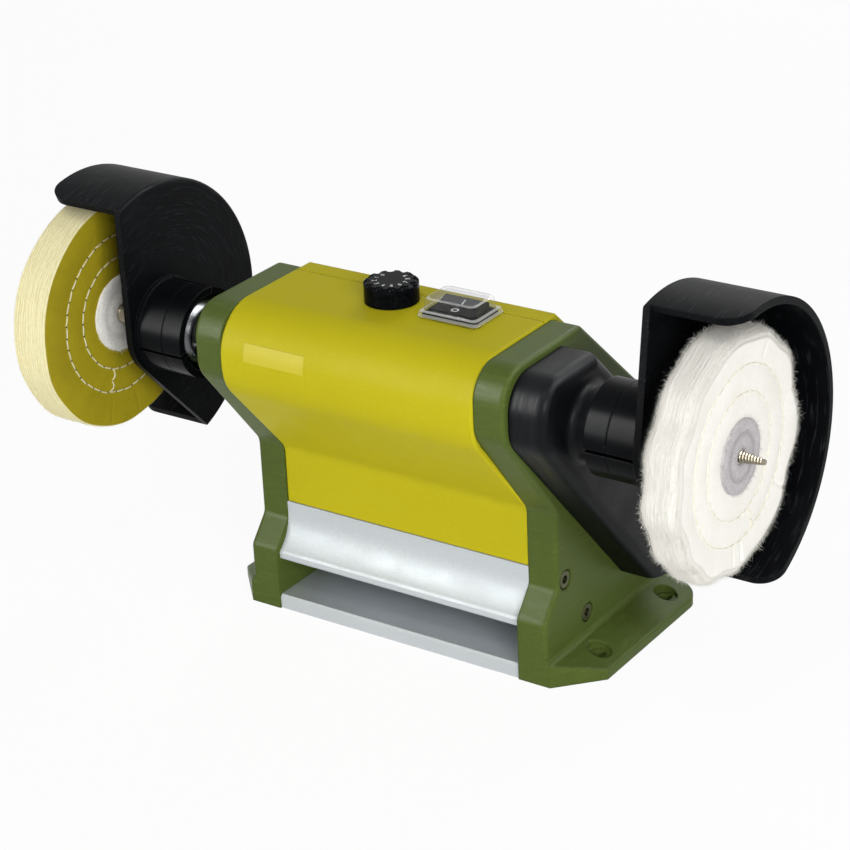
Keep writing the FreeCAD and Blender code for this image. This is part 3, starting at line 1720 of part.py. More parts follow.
def pot_parts():
    """The potentiometer under the panel, its turning shaft and its nut."""
    under = PANEL - d.shell_wall
    at = (-d.dial_left, DIAL_Y, 0)
    bore = d.pot_shaft + d.collar_fit
    floor = under - d.pot_depth
    top = PANEL + d.nut_thickness + d.pot_bush_proud
    bore_floor = floor + d.pot_floor
    body = [
        (floor, 0),
        (floor, d.pot_radius),
        (under, d.pot_radius),
        (under, d.pot_bush),
        (top, d.pot_bush),
        (top, bore),
        (bore_floor, bore),
        (bore_floor, 0),
    ]
    keep(turned(body, at, "z"), "potentiometer")
    shaft_top = PANEL + d.dial_gap + d.dial_height - d.dial_roof
    keep(turned(rod(bore_floor + d.collar_fit, shaft_top, d.pot_shaft), at, "z"), "dial_shaft")
    nut = ring(PANEL, PANEL + d.nut_thickness, d.pot_bush, d.pot_nut)
    keep(turned(nut, at, "z"), "pot_nut")


# ---- rocker switch ---------------------------------------------------------------------------


def switch_half_width():
    return d.rocker_width / 2 + d.rocker_gap + d.switch_side_wall


def switch_half_depth():
    swing = d.rocker_rise * sine(d.rocker_angle)
    return d.rocker_length / 2 + swing + d.rocker_gap + d.switch_end_wall


def rocker_pivot():
    return PANEL - d.rocker_pin_drop


def switch_body():
    """The moulded switch: a bezel on the panel and a box under it."""
    half_x = switch_half_width()
    half_y = switch_half_depth()
    body = new_body()
    base = PANEL - d.switch_depth
    block = rectangle(d.switch_right, SWITCH_Y, half_x, half_y)
    pad(body, outline(sketch_on(body, "XY_Plane", base), block), d.switch_depth)
    inside = d.splash_step + d.splash_wall + d.splash_fit
    bezel = rectangle(d.switch_right, SWITCH_Y, d.splash_across / 2 - inside, d.splash_deep / 2 - inside)
    pad(body, outline(sketch_on(body, "XY_Plane", PANEL), bezel), d.bezel_height)
    room_x = d.rocker_width / 2 + d.rocker_gap
    room = rectangle(d.switch_right, SWITCH_Y, room_x, half_y - d.switch_end_wall)
    top = sketch_on(body, "XY_Plane", PANEL + d.bezel_height)
    pocket(body, outline(top, room), d.bezel_height + d.switch_room)
    reach = half_x - d.rocker_pin_wall
    pin = sketch_on(body, "YZ_Plane", d.switch_right - reach)
    circle(pin, SWITCH_Y, rocker_pivot(), d.rocker_pin)
    pocket(body, pin, reach * 2, True)
    return keep(body, "switch_body")


def rocker():
    """The rocker, drawn level about its pin and set with its front pressed down."""
    half = d.rocker_length / 2
    rise = half * sine(d.rocker_angle)
    toe = half - d.rocker_foot_inset
    body = new_body((d.switch_right, SWITCH_Y, rocker_pivot()), (1, 0, 0), d.rocker_angle)
    section = [
        (-half, d.rocker_rise + rise),
        (-toe, -d.rocker_belly),
        (toe, -d.rocker_belly),
        (half, d.rocker_rise + rise),
        (0, d.rocker_rise),
    ]
    pad(body, outline(sketch_on(body, "YZ_Plane", -d.rocker_width / 2), section), d.rocker_width)
    hole = circle(sketch_on(body, "YZ_Plane", d.rocker_width / 2), 0, 0, d.rocker_pin + d.collar_fit)
    pocket(body, hole, d.rocker_width)
    return keep(body, "rocker")


def switch_pin():
    """The steel pin that the rocker tilts on."""
    reach = switch_half_width() - d.rocker_pin_wall
    pin = rod_at(d.rocker_pin, reach * 2, (d.switch_right - reach, SWITCH_Y, rocker_pivot()), "x")
    return keep(pin, "switch_pin")


def switch_spades():
    """Four blade terminals under the switch."""
    base = PANEL - d.switch_depth - d.spade_length
    lengths = (d.spade_thickness, d.spade_width, d.spade_length)
    places = [(x, y) for x in (-d.spade_reach, d.spade_reach) for y in (-d.spade_reach, d.spade_back)]
    spades = [box_at(lengths, (d.switch_right + x, SWITCH_Y + y, base)) for x, y in places]
    return keep(group(spades), "switch_spades")


def splash_cover():
    """A clear moulded hood over the rocker, with its frame flat on the panel."""
    body = new_body()
    half_x = d.splash_across / 2
    half_y = d.splash_deep / 2
    frame = rectangle(d.switch_right, SWITCH_Y, half_x, half_y)
    hood_x = half_x - d.splash_step
    hood_y = half_y - d.splash_step
    hood = rectangle(d.switch_right, SWITCH_Y, hood_x, hood_y)
    room = rectangle(d.switch_right, SWITCH_Y, hood_x - d.splash_wall, hood_y - d.splash_wall)
    corner_x = (d.switch_right - half_x).number, (d.switch_right + half_x).number
    hood_corner_x = (d.switch_right - hood_x).number, (d.switch_right + hood_x).number
    pad(body, outline(sketch_on(body, "XY_Plane", PANEL), frame), d.splash_base)
    dress(body, "Fillet", d.splash_corner, lambda edge: any(runs(edge, "z", x=x) for x in corner_x))
    hood_sketch = outline(sketch_on(body, "XY_Plane", PANEL + d.splash_base), hood)
    pad(body, hood_sketch, d.splash_height - d.splash_base)
    dress(body, "Fillet", d.splash_corner, lambda edge: any(runs(edge, "z", x=x) for x in hood_corner_x))
    dress(body, "Fillet", d.splash_edge, lambda edge: lies(edge, "z", PANEL + d.splash_height))
    pocket(body, outline(sketch_on(body, "XY_Plane", PANEL), room), d.splash_height - d.splash_wall, True)
    return keep(body, "splash_cover")


# ---- control board ---------------------------------------------------------------------------


def standoff_places():
    half = d.board_height / 2 - d.standoff_edge_inset
    reach = d.board_length / 2 - d.standoff_side_inset
    return [(side * reach, BOARD_Z + up * half) for side in (-1, 1) for up in (-1, 1)]


def board_bracket():
    """A sheet bracket that spans the case, with a flange on each end plate."""
    back = SHAFT_Y + d.bracket_back
    front = back - d.bracket_thickness
    tip = back - d.bracket_flange
    inner = HALF - d.bracket_thickness
    points = [
        (-HALF, back),
        (-HALF, tip),
        (-inner, tip),
        (-inner, front),
        (inner, front),
        (inner, tip),
        (HALF, tip),
        (HALF, back),
    ]
    body = prism("XY_Plane", BRACKET_BOTTOM, points, d.bracket_height)
    y, z = bracket_screw_place()
    for side in (-1, 1):
        drill(body, side, HALF, [(y, z)], d.small_hole, d.bracket_thickness)
    for x, z in standoff_places():
        hole = circle(sketch_on(body, "XZ_Plane", -back), x, z, d.small_shank)
        pocket(body, hole, d.bracket_thickness, True)
    return keep(body, "board_bracket")


def bracket_screws():
    """One screw through each flange of the bracket into its end plate."""
    face = HALF - d.bracket_thickness
    length = d.bracket_thickness + d.small_length - d.screw_tip_gap
    at = (0, *bracket_screw_place())
    screws = [plain_screw(side * face, -side, at, "x", length) for side in (-1, 1)]
    return keep(group(screws), "bracket_screws")


def circuit_board():
    """The speed control's board, with a hole at each standoff."""
    lengths = (d.board_length, d.board_thickness, d.board_height)
    at = (-d.board_length / 2, BOARD_FACE, BOARD_Z - d.board_height / 2)
    depth = d.board_thickness + 2 * LAP
    holes = [rod_at(d.small_hole, depth, (x, BOARD_FACE - LAP, z), "y") for x, z in standoff_places()]
    return keep(without(box_at(lengths, at), holes), "circuit_board")


def standoffs():
    """Four hollow spacers between board and bracket."""
    profile = ring(BRACKET_FACE - d.standoff_length, BRACKET_FACE, d.small_shank, d.standoff_radius)
    return keep(group([turned(profile, (x, 0, z), "y") for x, z in standoff_places()]), "standoffs")


def board_screws():
    """Four screws through board and standoffs into the bracket."""
    length = SHAFT_Y + d.bracket_back - BOARD_FACE
    screws = [plain_screw(BOARD_FACE, -1, (x, 0, z), "y", length) for x, z in standoff_places()]
    return keep(group(screws), "board_screws")


def board_parts():
    """Capacitor, choke, power device with its cooling plate and a terminal block on the board."""
    round_parts = [
        (d.capacitor_radius, d.capacitor_height, -d.capacitor_left),
        (d.choke_radius, d.choke_height, -d.choke_left),
    ]
    square_parts = [
        (d.heat_sink_size, d.heat_sink_height, d.heat_sink_size, d.heat_sink_right),
        (d.terminal_length, d.terminal_height, d.terminal_depth, d.terminal_right),
    ]
    parts = []
    for radius, height, x in round_parts:
        parts.append(rod_at(radius, height, (x, BOARD_FACE - height, BOARD_Z), "y"))
    for length, height, depth, x in square_parts:
        parts.append(box_at((length, height, depth), (x, BOARD_FACE - height, BOARD_Z - depth / 2)))
    return keep(group(parts), "board_parts")


# ---- cable gland -----------------------------------------------------------------------------


def cable_gland():
    """The gland in the upright back, with its locknut inside."""
    inner = COVER_BACK - d.shell_wall
    tail = inner - d.gland_thread_length
    end = COVER_BACK + d.gland_reach
    at = (GLAND_X, 0, GLAND_Z)
    bore = d.gland_thread - d.gland_wall
    body = [
        (tail, bore),
        (tail, d.gland_thread),
        (COVER_BACK, d.gland_thread),
        (COVER_BACK, d.gland_flange),
        (COVER_BACK + d.gland_flange_length, d.gland_flange),
        (end, d.gland_flange - d.gland_taper),
        (end, bore),
    ]
    keep(turned(body, at, "y"), "cable_gland")
    nut = ring(inner - d.gland_nut, inner, d.gland_thread, d.gland_flange)
    keep(turned(nut, at, "y"), "gland_nut")


# ---- the whole machine -----------------------------------------------------------------------


def build():
    left_plate()
    right_plate()
    housing_shell()
    rear_cover()
    rear_screws()
    seam_strip()
    name_plate()
    skirt()
    bottom_plate()
    bottom_screws()
    case_screws()
    belt_cover()
    cover_screws()
    left_neck()
    neck_screws()
    for side, end in ((-1, LEFT_NECK), (1, RIGHT_NECK)):
        bearing(side, end)
        bearing_cap(side, end)
    spindle()
    spindle_pulley()
    buff(-1, d.left_buff_face, d.left_buff_width, d.left_buff_flare, "buff_left")
    buff(1, d.right_buff_face, d.right_buff_width, d.right_buff_flare, "buff_right")
    hub_discs(-1, d.left_buff_face, d.left_buff_width, d.left_hub_disc, "hub_discs_left")
    hub_discs(1, d.right_buff_face, d.right_buff_width, d.right_hub_disc, "hub_discs_right")
    guard(-1, d.left_guard_face, d.left_guard_tilt, "guard_left")
    guard(1, d.right_guard_face, d.right_guard_tilt, "guard_right")
    drive_belt()
    motor_can()
    motor_shield()
    motor_screws()
    motor_magnets()
    motor_bearings()
    motor_shaft()
    armature()
    motor_fan()
    motor_brushes()
    motor_pulley()
    speed_dial()
    pot_parts()
    switch_body()
    rocker()
    switch_pin()
    switch_spades()
    splash_cover()
    board_bracket()
    bracket_screws()
    circuit_board()
    standoffs()
    board_screws()
    board_parts()
    cable_gland()


def check():
    """Stop before anything is written if a feature failed or a sub-part isn't sound."""
    doc.recompute()
    failed = [item.Label for item in doc.Objects if {"Invalid", "Error"} & set(item.State)]
    unsound = [item.Label for item in nodes if item.Shape.isNull() or not item.Shape.isValid()]
    if failed or unsound:
        raise RuntimeError(f"failed: {failed}, unsound: {unsound}")


def write():
    os.makedirs("parts", exist_ok=True)
    for item in nodes:
        item.Shape.exportStep(f"parts/{item.Label}.step")
        print(item.Label, len(item.Shape.Solids), round(item.Shape.Volume))


build()
check()
write()
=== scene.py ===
"""Finishes, cloth buffs, screw tapers and marks for a twin-ended bench polishing lathe."""

import json
import math

import bmesh
import bpy
import numpy as np
from bpy.props import FloatProperty, FloatVectorProperty, IntProperty, PointerProperty
from bpy.types import Operator, Panel, PropertyGroup
from mathutils import Matrix, Vector


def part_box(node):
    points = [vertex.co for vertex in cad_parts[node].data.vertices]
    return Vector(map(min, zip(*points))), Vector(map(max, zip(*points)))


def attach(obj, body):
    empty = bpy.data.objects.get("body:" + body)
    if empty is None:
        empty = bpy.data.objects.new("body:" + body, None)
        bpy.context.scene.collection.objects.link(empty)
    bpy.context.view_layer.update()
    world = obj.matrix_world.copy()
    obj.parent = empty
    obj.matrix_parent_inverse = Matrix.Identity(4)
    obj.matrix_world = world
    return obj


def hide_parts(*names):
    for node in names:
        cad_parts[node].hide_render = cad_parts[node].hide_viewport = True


bl_info = {
    "name": "Polishing Lathe Finishes",
    "version": (1, 0, 0),
    "blender": (4, 5, 0),
    "location": "3D View > Sidebar > Lathe",
    "description": "Gives the bench polishing lathe its paint, plastics, metals and cloth buffs",
    "category": "Object",
}

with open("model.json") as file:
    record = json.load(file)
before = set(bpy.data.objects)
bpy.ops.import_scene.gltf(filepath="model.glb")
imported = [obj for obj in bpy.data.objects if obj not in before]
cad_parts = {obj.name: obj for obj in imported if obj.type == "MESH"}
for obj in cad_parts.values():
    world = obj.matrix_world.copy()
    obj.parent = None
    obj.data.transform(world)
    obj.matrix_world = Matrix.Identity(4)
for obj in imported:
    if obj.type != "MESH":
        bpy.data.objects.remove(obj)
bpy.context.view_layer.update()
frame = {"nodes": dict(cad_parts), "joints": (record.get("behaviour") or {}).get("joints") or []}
NODES = frame["nodes"]
MM = 0.001

# Where the spindle, the dial and the rocker turn. Both buffs sit on the spindle's line.
PIVOTS = {joint["name"]: Vector(joint["pos_m"]) for joint in frame["joints"]}
AXIS, DIAL, ROCKER_PIN = (PIVOTS[name] for name in ("spindle_spin", "dial_turn", "rocker_tilt"))

# The thickness of a hub disc, and the tapered ends of the spindle, measured out from the middle.
DISC = 1.0 * MM
TAPER_START = 124.0 * MM
TAPER_RADIUS = 5.0 * MM
TAPER_TIP = 163.6 * MM
TAPER_TIP_RADIUS = 1.0 * MM


# ---- colours and nodes -----------------------------------------------------------------------


def rgb(code):
    """An sRGB hex colour as the linear red, green and blue that the shaders take."""
    values = [int(code[place : place + 2], 16) / 255 for place in (0, 2, 4)]
    return [value / 12.92 if value <= 0.04045 else ((value + 0.055) / 1.055) ** 2.4 for value in values]


def rgba(colour):
    """A linear colour with full alpha, from a hex value or a colour property."""
    return [*(rgb(colour) if isinstance(colour, str) else colour), 1.0]


def add(tree, kind, inputs=None, **settings):
    """Add a node, set its properties, and give each input a value or a socket."""
    made = tree.nodes.new(kind)
    for name, value in settings.items():
        setattr(made, name, value)
    for name, value in (inputs or {}).items():
        if isinstance(value, bpy.types.NodeSocket):
            tree.links.new(value, made.inputs[name])
        else:
            made.inputs[name].default_value = value
    return made


def finish(name, colour, roughness, metallic=0.0, **even):
    """A material whose shader holds the values that are the same all over the surface."""
    material = bpy.data.materials.new(name)
    material.use_nodes = True
    shader = material.node_tree.nodes["Principled BSDF"]
    shader.inputs["Base Color"].default_value = rgba(colour)
    shader.inputs["Roughness"].default_value = roughness
    shader.inputs["Metallic"].default_value = metallic
    for label, value in even.items():
        shader.inputs[label.replace("_", " ")].default_value = value
    return material, material.node_tree, shader


def grains(tree, size, stretch=(1, 1, 1), detail=2.0):
    """A noise pattern with grains of a size in millimetres, drawn out along X, Y or Z."""
    place = add(tree, "ShaderNodeTexCoord")
    scale = [1 / MM / size / along for along in stretch]
    spaced = add(tree, "ShaderNodeMapping", {"Vector": place.outputs["Object"], "Scale": scale})
    inputs = {"Vector": spaced.outputs[0], "Scale": 1.0, "Detail": detail}
    return add(tree, "ShaderNodeTexNoise", inputs).outputs["Fac"]


def specks(tree, spacing, radius):
    """Scattered dots: 1 inside each dot and 0 elsewhere, with sizes in millimetres."""
    place = add(tree, "ShaderNodeTexCoord")
    inputs = {"Vector": place.outputs["Object"], "Scale": 1 / MM / spacing, "Randomness": 1.0}
    cells = add(tree, "ShaderNodeTexVoronoi", inputs)
    share = radius / spacing
    limits = {"Value": cells.outputs["Distance"], "From Min": share, "From Max": share * 0.4}
    return add(tree, "ShaderNodeMapRange", limits).outputs["Result"]


def drive(tree, shader, socket, pattern, low, high, span=(0.3, 0.7)):
    """Let a pattern move one shader value between two limits."""
    limits = {"Value": pattern, "From Min": span[0], "From Max": span[1], "To Min": low, "To Max": high}
    tree.links.new(add(tree, "ShaderNodeMapRange", limits).outputs["Result"], shader.inputs[socket])


def tint(tree, shader, pattern, other, span=(0.3, 0.7), strength=1.0):
    """Shift the base colour towards another one where the pattern is high."""
    limits = {"Value": pattern, "From Min": span[0], "From Max": span[1], "To Max": strength}
    share = add(tree, "ShaderNodeMapRange", limits).outputs["Result"]
    base = shader.inputs["Base Color"]
    before = base.links[0].from_socket if base.links else list(base.default_value)
    mixed = add(tree, "ShaderNodeMix", {0: share, 6: before, 7: rgba(other)}, data_type="RGBA")
    tree.links.new(mixed.outputs[2], base)


def relief(tree, shader, pattern, depth, strength=1.0):
    """Raise the surface by a pattern, with the depth in millimetres."""
    normal = shader.inputs["Normal"]
    inputs = {"Height": pattern, "Distance": depth * MM, "Strength": strength}
    if normal.links:
        inputs["Normal"] = normal.links[0].from_socket
    tree.links.new(add(tree, "ShaderNodeBump", inputs).outputs["Normal"], normal)


def soften(tree, shader, radius):
    """Shade sharp edges as if they were broken by a radius in millimetres, so that they catch light."""
    rounded = add(tree, "ShaderNodeBevel", {"Radius": radius * MM}, samples=6).outputs["Normal"]
    tree.links.new(rounded, shader.inputs["Normal"])


# ---- finishes --------------------------------------------------------------------------------


def mustard_lacquer(colour):
    """Sprayed satin two-pack lacquer: faint orange peel and a very fine sparkle of pigment."""
    material, tree, shader = finish("mustard_lacquer", colour, 0.32, IOR=1.5, Specular_IOR_Level=0.015)
    soften(tree, shader, 0.9)
    tint(tree, shader, grains(tree, 60, detail=1), "b2a81a", strength=0.3)
    tint(tree, shader, grains(tree, 0.5, detail=1), "cfc52a", span=(0.55, 0.8), strength=0.5)
    drive(tree, shader, "Roughness", grains(tree, 9), 0.3, 0.42)
    relief(tree, shader, grains(tree, 0.9), 0.025, 0.4)
    relief(tree, shader, grains(tree, 38, detail=1), 0.4, 0.2)
    return material


def olive_lacquer(colour):
    """Satin lacquer over a linished aluminium casting: the grinding lines just show through it."""
    material, tree, shader = finish("olive_lacquer", colour, 0.32, IOR=1.5, Specular_IOR_Level=0.07)
    soften(tree, shader, 1.2)
    lines = grains(tree, 0.8, stretch=(14, 14, 1), detail=3)
    tint(tree, shader, grains(tree, 30, detail=2), "4a5a24", strength=0.35)
    tint(tree, shader, lines, "647236", span=(0.5, 0.8), strength=0.35)
    tint(tree, shader, grains(tree, 0.6, detail=1), "6d7c3a", span=(0.55, 0.8), strength=0.35)
    drive(tree, shader, "Roughness", lines, 0.28, 0.44)
    relief(tree, shader, lines, 0.02, 0.4)
    relief(tree, shader, grains(tree, 1.4), 0.03, 0.35)
    tint(tree, shader, specks(tree, 9, 0.14), "a8ac86", span=(0, 1), strength=0.5)
    return material


def anodised_aluminium():
    """Bead-blasted and natural anodised: an even matt grey with a fine crystalline sparkle."""
    material, tree, shader = finish("anodised_aluminium", "bac0c4", 0.42, 0.04, Specular_IOR_Level=0.1)
    tint(tree, shader, grains(tree, 0.5, detail=1), "e4e8ea", span=(0.52, 0.74), strength=0.4)
    tint(tree, shader, grains(tree, 0.7, detail=1), "b3b9bd", span=(0.54, 0.76), strength=0.45)
    tint(tree, shader, grains(tree, 70, detail=1), "c3c9cd", strength=0.4)
    drive(tree, shader, "Roughness", grains(tree, 12), 0.36, 0.5)
    relief(tree, shader, grains(tree, 0.7), 0.02, 0.3)
    return material


def rolled_aluminium():
    """Rolled plate: its face is a dull mirror with pale flecks of swarf, its sawn edges are matt."""
    material, tree, shader = finish("rolled_aluminium", "bfc4c8", 0.3, Specular_IOR_Level=0.1)
    # the face looks up, the edges and their small chamfers don't
    normal = add(tree, "ShaderNodeNewGeometry").outputs["True Normal"]
    upward = add(tree, "ShaderNodeSeparateXYZ", {"Vector": normal}).outputs["Z"]
    drive(tree, shader, "Metallic", upward, 0.0, 0.55, span=(0.8, 0.95))
    tint(tree, shader, grains(tree, 40, detail=2), "b6babc", strength=0.4)
    tint(tree, shader, specks(tree, 3.5, 0.22), "f4f6f5", span=(0, 1), strength=0.7)
    drive(tree, shader, "Roughness", grains(tree, 6, detail=3), 0.28, 0.36)
    relief(tree, shader, grains(tree, 0.6, stretch=(30, 1, 1)), 0.015, 0.3)
    return material


def cover_plastic():
    """Moulded black ABS: fine streaks round the cover, and a little pale polishing dust."""
    material, tree, shader = finish("cover_plastic", "08090b", 0.4, IOR=1.53, Specular_IOR_Level=0.085)
    soften(tree, shader, 0.7)
    streaks = grains(tree, 0.6, stretch=(1, 26, 26), detail=3)
    tint(tree, shader, grains(tree, 24), "0e1013", strength=0.5)
    tint(tree, shader, streaks, "17191d", span=(0.5, 0.8), strength=0.6)
    drive(tree, shader, "Roughness", streaks, 0.33, 0.51)
    relief(tree, shader, streaks, 0.025, 0.35)
    tint(tree, shader, specks(tree, 8, 0.12), "8a8c8c", span=(0, 1), strength=0.5)
    return material


def axis_places(tree):
    """Sockets for the distance from the spindle's axis, the angle round it and the place along it."""
    place = add(tree, "ShaderNodeTexCoord")
    shifted = add(tree, "ShaderNodeMapping", {"Vector": place.outputs["Object"], "Location": -AXIS})
    parts = add(tree, "ShaderNodeSeparateXYZ", {"Vector": shifted.outputs[0]})
    y, z = parts.outputs["Y"], parts.outputs["Z"]
    angle = add(tree, "ShaderNodeMath", {0: z, 1: y}, operation="ARCTAN2").outputs[0]
    flat = add(tree, "ShaderNodeCombineXYZ", {"X": y, "Y": z})
    reach = add(tree, "ShaderNodeVectorMath", {0: flat.outputs[0]}, operation="LENGTH").outputs["Value"]
    return reach, angle, parts.outputs["X"]


def guard_plastic():
    """Matt black ABS: rubbed swirls round the shaft and pale dust thrown off by the buff."""
    material, tree, shader = finish("guard_plastic", "07080a", 0.4, IOR=1.5, Specular_IOR_Level=0.038)
    soften(tree, shader, 0.7)
    reach, angle, along = axis_places(tree)
    rings = add(tree, "ShaderNodeCombineXYZ", {"X": reach, "Y": angle, "Z": along}).outputs[0]
    # rubbed lines 0.5 mm apart and a fifth of a radian long, on the rim 1.1 mm apart along the shaft
    swirl = add(tree, "ShaderNodeMapping", {"Vector": rings, "Scale": (2000, 5, 900)}).outputs[0]
    noise = {"Vector": swirl, "Scale": 1.0, "Detail": 4.0}
    scratches = add(tree, "ShaderNodeTexNoise", noise).outputs["Fac"]
    beyond_collar = {"Value": reach, "From Min": 21 * MM, "From Max": 30 * MM}
    worn = add(tree, "ShaderNodeMapRange", beyond_collar).outputs["Result"]
    rubbed = add(tree, "ShaderNodeMath", {0: scratches, 1: worn}, operation="MULTIPLY").outputs[0]
    tint(tree, shader, rubbed, "4c5053", span=(0.56, 0.8), strength=0.5)
    tint(tree, shader, grains(tree, 20, detail=3), "0f1113", strength=0.5)
    drive(tree, shader, "Roughness", worn, 0.28, 0.46, span=(0, 1))
    relief(tree, shader, scratches, 0.02, 0.3)
    relief(tree, shader, grains(tree, 0.6), 0.02, 0.3)
    tint(tree, shader, specks(tree, 5.5, 0.13), "a5a6a2", span=(0, 1), strength=0.6)
    return material


def dial_plastic():
    """Moulded nylon with a satin top: near black, a little worn at the finger hollows."""
    material, tree, shader = finish("dial_plastic", "040507", 0.14, IOR=1.53, Specular_IOR_Level=0.024)
    soften(tree, shader, 0.3)
    drive(tree, shader, "Roughness", grains(tree, 3), 0.12, 0.24)
    relief(tree, shader, grains(tree, 0.5), 0.02, 0.4)
    tint(tree, shader, grains(tree, 1.4), "15171b", strength=0.5)
    return material


def switch_plastic():
    """Glossy moulded polyamide, a little dusty."""
    material, tree, shader = finish("switch_plastic", "040508", 0.2, IOR=1.53, Specular_IOR_Level=0.03)
    tint(tree, shader, specks(tree, 3.5, 0.1), "8d929a", span=(0, 1), strength=0.5)
    drive(tree, shader, "Roughness", grains(tree, 2), 0.14, 0.26)
    relief(tree, shader, grains(tree, 1.2), 0.01, 0.25)
    return material


def clear_polycarbonate(name, colour, face_on, along):
    """Clear moulded polycarbonate: nearly invisible face on, milky where it is seen along the wall."""
    material, tree, shader = finish(name, colour, 0.08, IOR=1.45)
    edge = add(tree, "ShaderNodeLayerWeight", {"Blend": 0.5}).outputs["Facing"]
    drive(tree, shader, "Alpha", edge, face_on, along, span=(0.35, 1.0))
    drive(tree, shader, "Roughness", grains(tree, 3), 0.05, 0.16)
    relief(tree, shader, grains(tree, 5, detail=1), 0.1, 0.3)
    return material


def white_print():
    """Tampon-printed white ink, thin at its edges."""
    material, tree, shader = finish("white_print", "dfe1e2", 0.5, IOR=1.5)
    tint(tree, shader, grains(tree, 0.4), "b9bcc0", strength=0.5)
    return material


def label_film():
    """A bare satin film: its gold is a little warmer and paler than the lacquer round it."""
    material, tree, shader = finish("label_film", "c6b934", 0.36, IOR=1.5, Specular_IOR_Level=0.04)
    tint(tree, shader, grains(tree, 0.4, stretch=(6, 1, 1)), "cdc048", strength=0.35)
    relief(tree, shader, grains(tree, 2.5), 0.02, 0.3)
    return material


def machined_metal(name, colour, roughness, stain="8d867a"):
    """Turned or drawn metal: fine tool lines and small changes of tone."""
    material, tree, shader = finish(name, colour, roughness, metallic=1.0)
    lines = grains(tree, 0.3, stretch=(1, 12, 12), detail=3)
    tint(tree, shader, grains(tree, 4), stain, strength=0.35)
    drive(tree, shader, "Roughness", lines, roughness - 0.08, roughness + 0.12)
    relief(tree, shader, lines, 0.015, 0.4)
    return material


def turned_neck():
    """Bare turned aluminium, with a painted highlight that is pale near the boss and painted shade that
    is dark further out, inside the collar's mouth.
    """
    # the dark base colour is painted shade inside the collar's mouth
    material, tree, shader = finish("turned_aluminium", "1c1d1f", 0.24, metallic=1.0)
    reach = axis_places(tree)[0]
    # painted highlight: a pale crescent within about 13 mm of the axis, next to the boss
    tint(tree, shader, reach, "a4a6a7", span=(13.4 * MM, 12.6 * MM))
    lines = grains(tree, 0.3, stretch=(1, 30, 30), detail=3)
    drive(tree, shader, "Roughness", lines, 0.16, 0.34)
    relief(tree, shader, lines, 0.01, 0.3)
    return material


def plain_moulding(name, colour, roughness):
    """Moulded or pressed material with a fine even grain."""
    material, tree, shader = finish(name, colour, roughness, IOR=1.5, Specular_IOR_Level=0.2)
    tint(tree, shader, grains(tree, 1.5), "808080", strength=0.08)
    drive(tree, shader, "Roughness", grains(tree, 4), roughness - 0.06, roughness + 0.1)
    relief(tree, shader, grains(tree, 0.5), 0.03, 0.4)
    return material


def toned(tree, shader, shade, strength):
    """Darken the base colour by the tone that the mesh marks: painted shade in the grooves of a rim,
    stains on the hub discs, uneven colour on a face.
    """
    tone = add(tree, "ShaderNodeAttribute", attribute_name="tone").outputs["Fac"]
    tint(tree, shader, tone, shade, span=(0, 1), strength=strength)


def cotton_face(name, colour, shade):
    """Plain-woven calico: crossed threads, drawn twice as coarse as real so that they show."""
    material, tree, shader = finish(name, colour, 0.9, Specular_IOR_Level=0.1)
    place = add(tree, "ShaderNodeTexCoord").outputs["Object"]
    # a wave texture repeats every pi / 10 over its scale, which puts the threads 0.8 mm apart
    inputs = {"Vector": place, "Scale": 392.5, "Distortion": 0.6, "Detail": 1.0}
    bands = [add(tree, "ShaderNodeTexWave", inputs, bands_direction=direction) for direction in "YZ"]
    threads = {index: band.outputs["Fac"] for index, band in enumerate(bands)}
    height = add(tree, "ShaderNodeMath", threads).outputs[0]
    tint(tree, shader, grains(tree, 14, detail=3), shade, strength=0.3)
    tint(tree, shader, grains(tree, 1.1, detail=2), shade, span=(0.5, 0.8), strength=0.3)
    toned(tree, shader, shade, 0.8)
    relief(tree, shader, height, 0.05, 0.3)
    relief(tree, shader, grains(tree, 2.2, detail=3), 0.2, 0.45)
    return material


def cotton_rim(name, colour, shade):
    """The cut edges of many cloth layers: fuzzy, drawn out round the rim, with painted shade in the
    grooves between layers.
    """
    material, tree, shader = finish(name, colour, 0.95, Specular_IOR_Level=0.1)
    fuzz = grains(tree, 0.5, stretch=(1, 4, 4), detail=4)
    tint(tree, shader, fuzz, shade, span=(0.45, 0.75), strength=0.4)
    toned(tree, shader, shade, 0.9)
    relief(tree, shader, fuzz, 0.3, 0.5)
    return material


def felt_disc(name, colour, shade):
    """Pressed fibre washer: matted grey fibres, stained where the stitches pull them down."""
    material, tree, shader = finish(name, colour, 0.95, Specular_IOR_Level=0.1)
    tint(tree, shader, grains(tree, 0.9, detail=4), shade, span=(0.42, 0.7), strength=0.55)
    tint(tree, shader, grains(tree, 4, detail=3), shade, span=(0.45, 0.75), strength=0.3)
    toned(tree, shader, shade, 0.9)
    relief(tree, shader, grains(tree, 0.5, detail=4), 0.3, 0.8)
    return material


def sewing_thread(name, colour):
    """Twisted cotton thread."""
    material, tree, shader = finish(name, colour, 0.85, Specular_IOR_Level=0.1)
    tint(tree, shader, grains(tree, 0.5, stretch=(1, 2, 2)), "b9b08c", strength=0.35)
    relief(tree, shader, grains(tree, 0.3), 0.05, 0.6)
    return material


# ---- mesh helpers ----------------------------------------------------------------------------


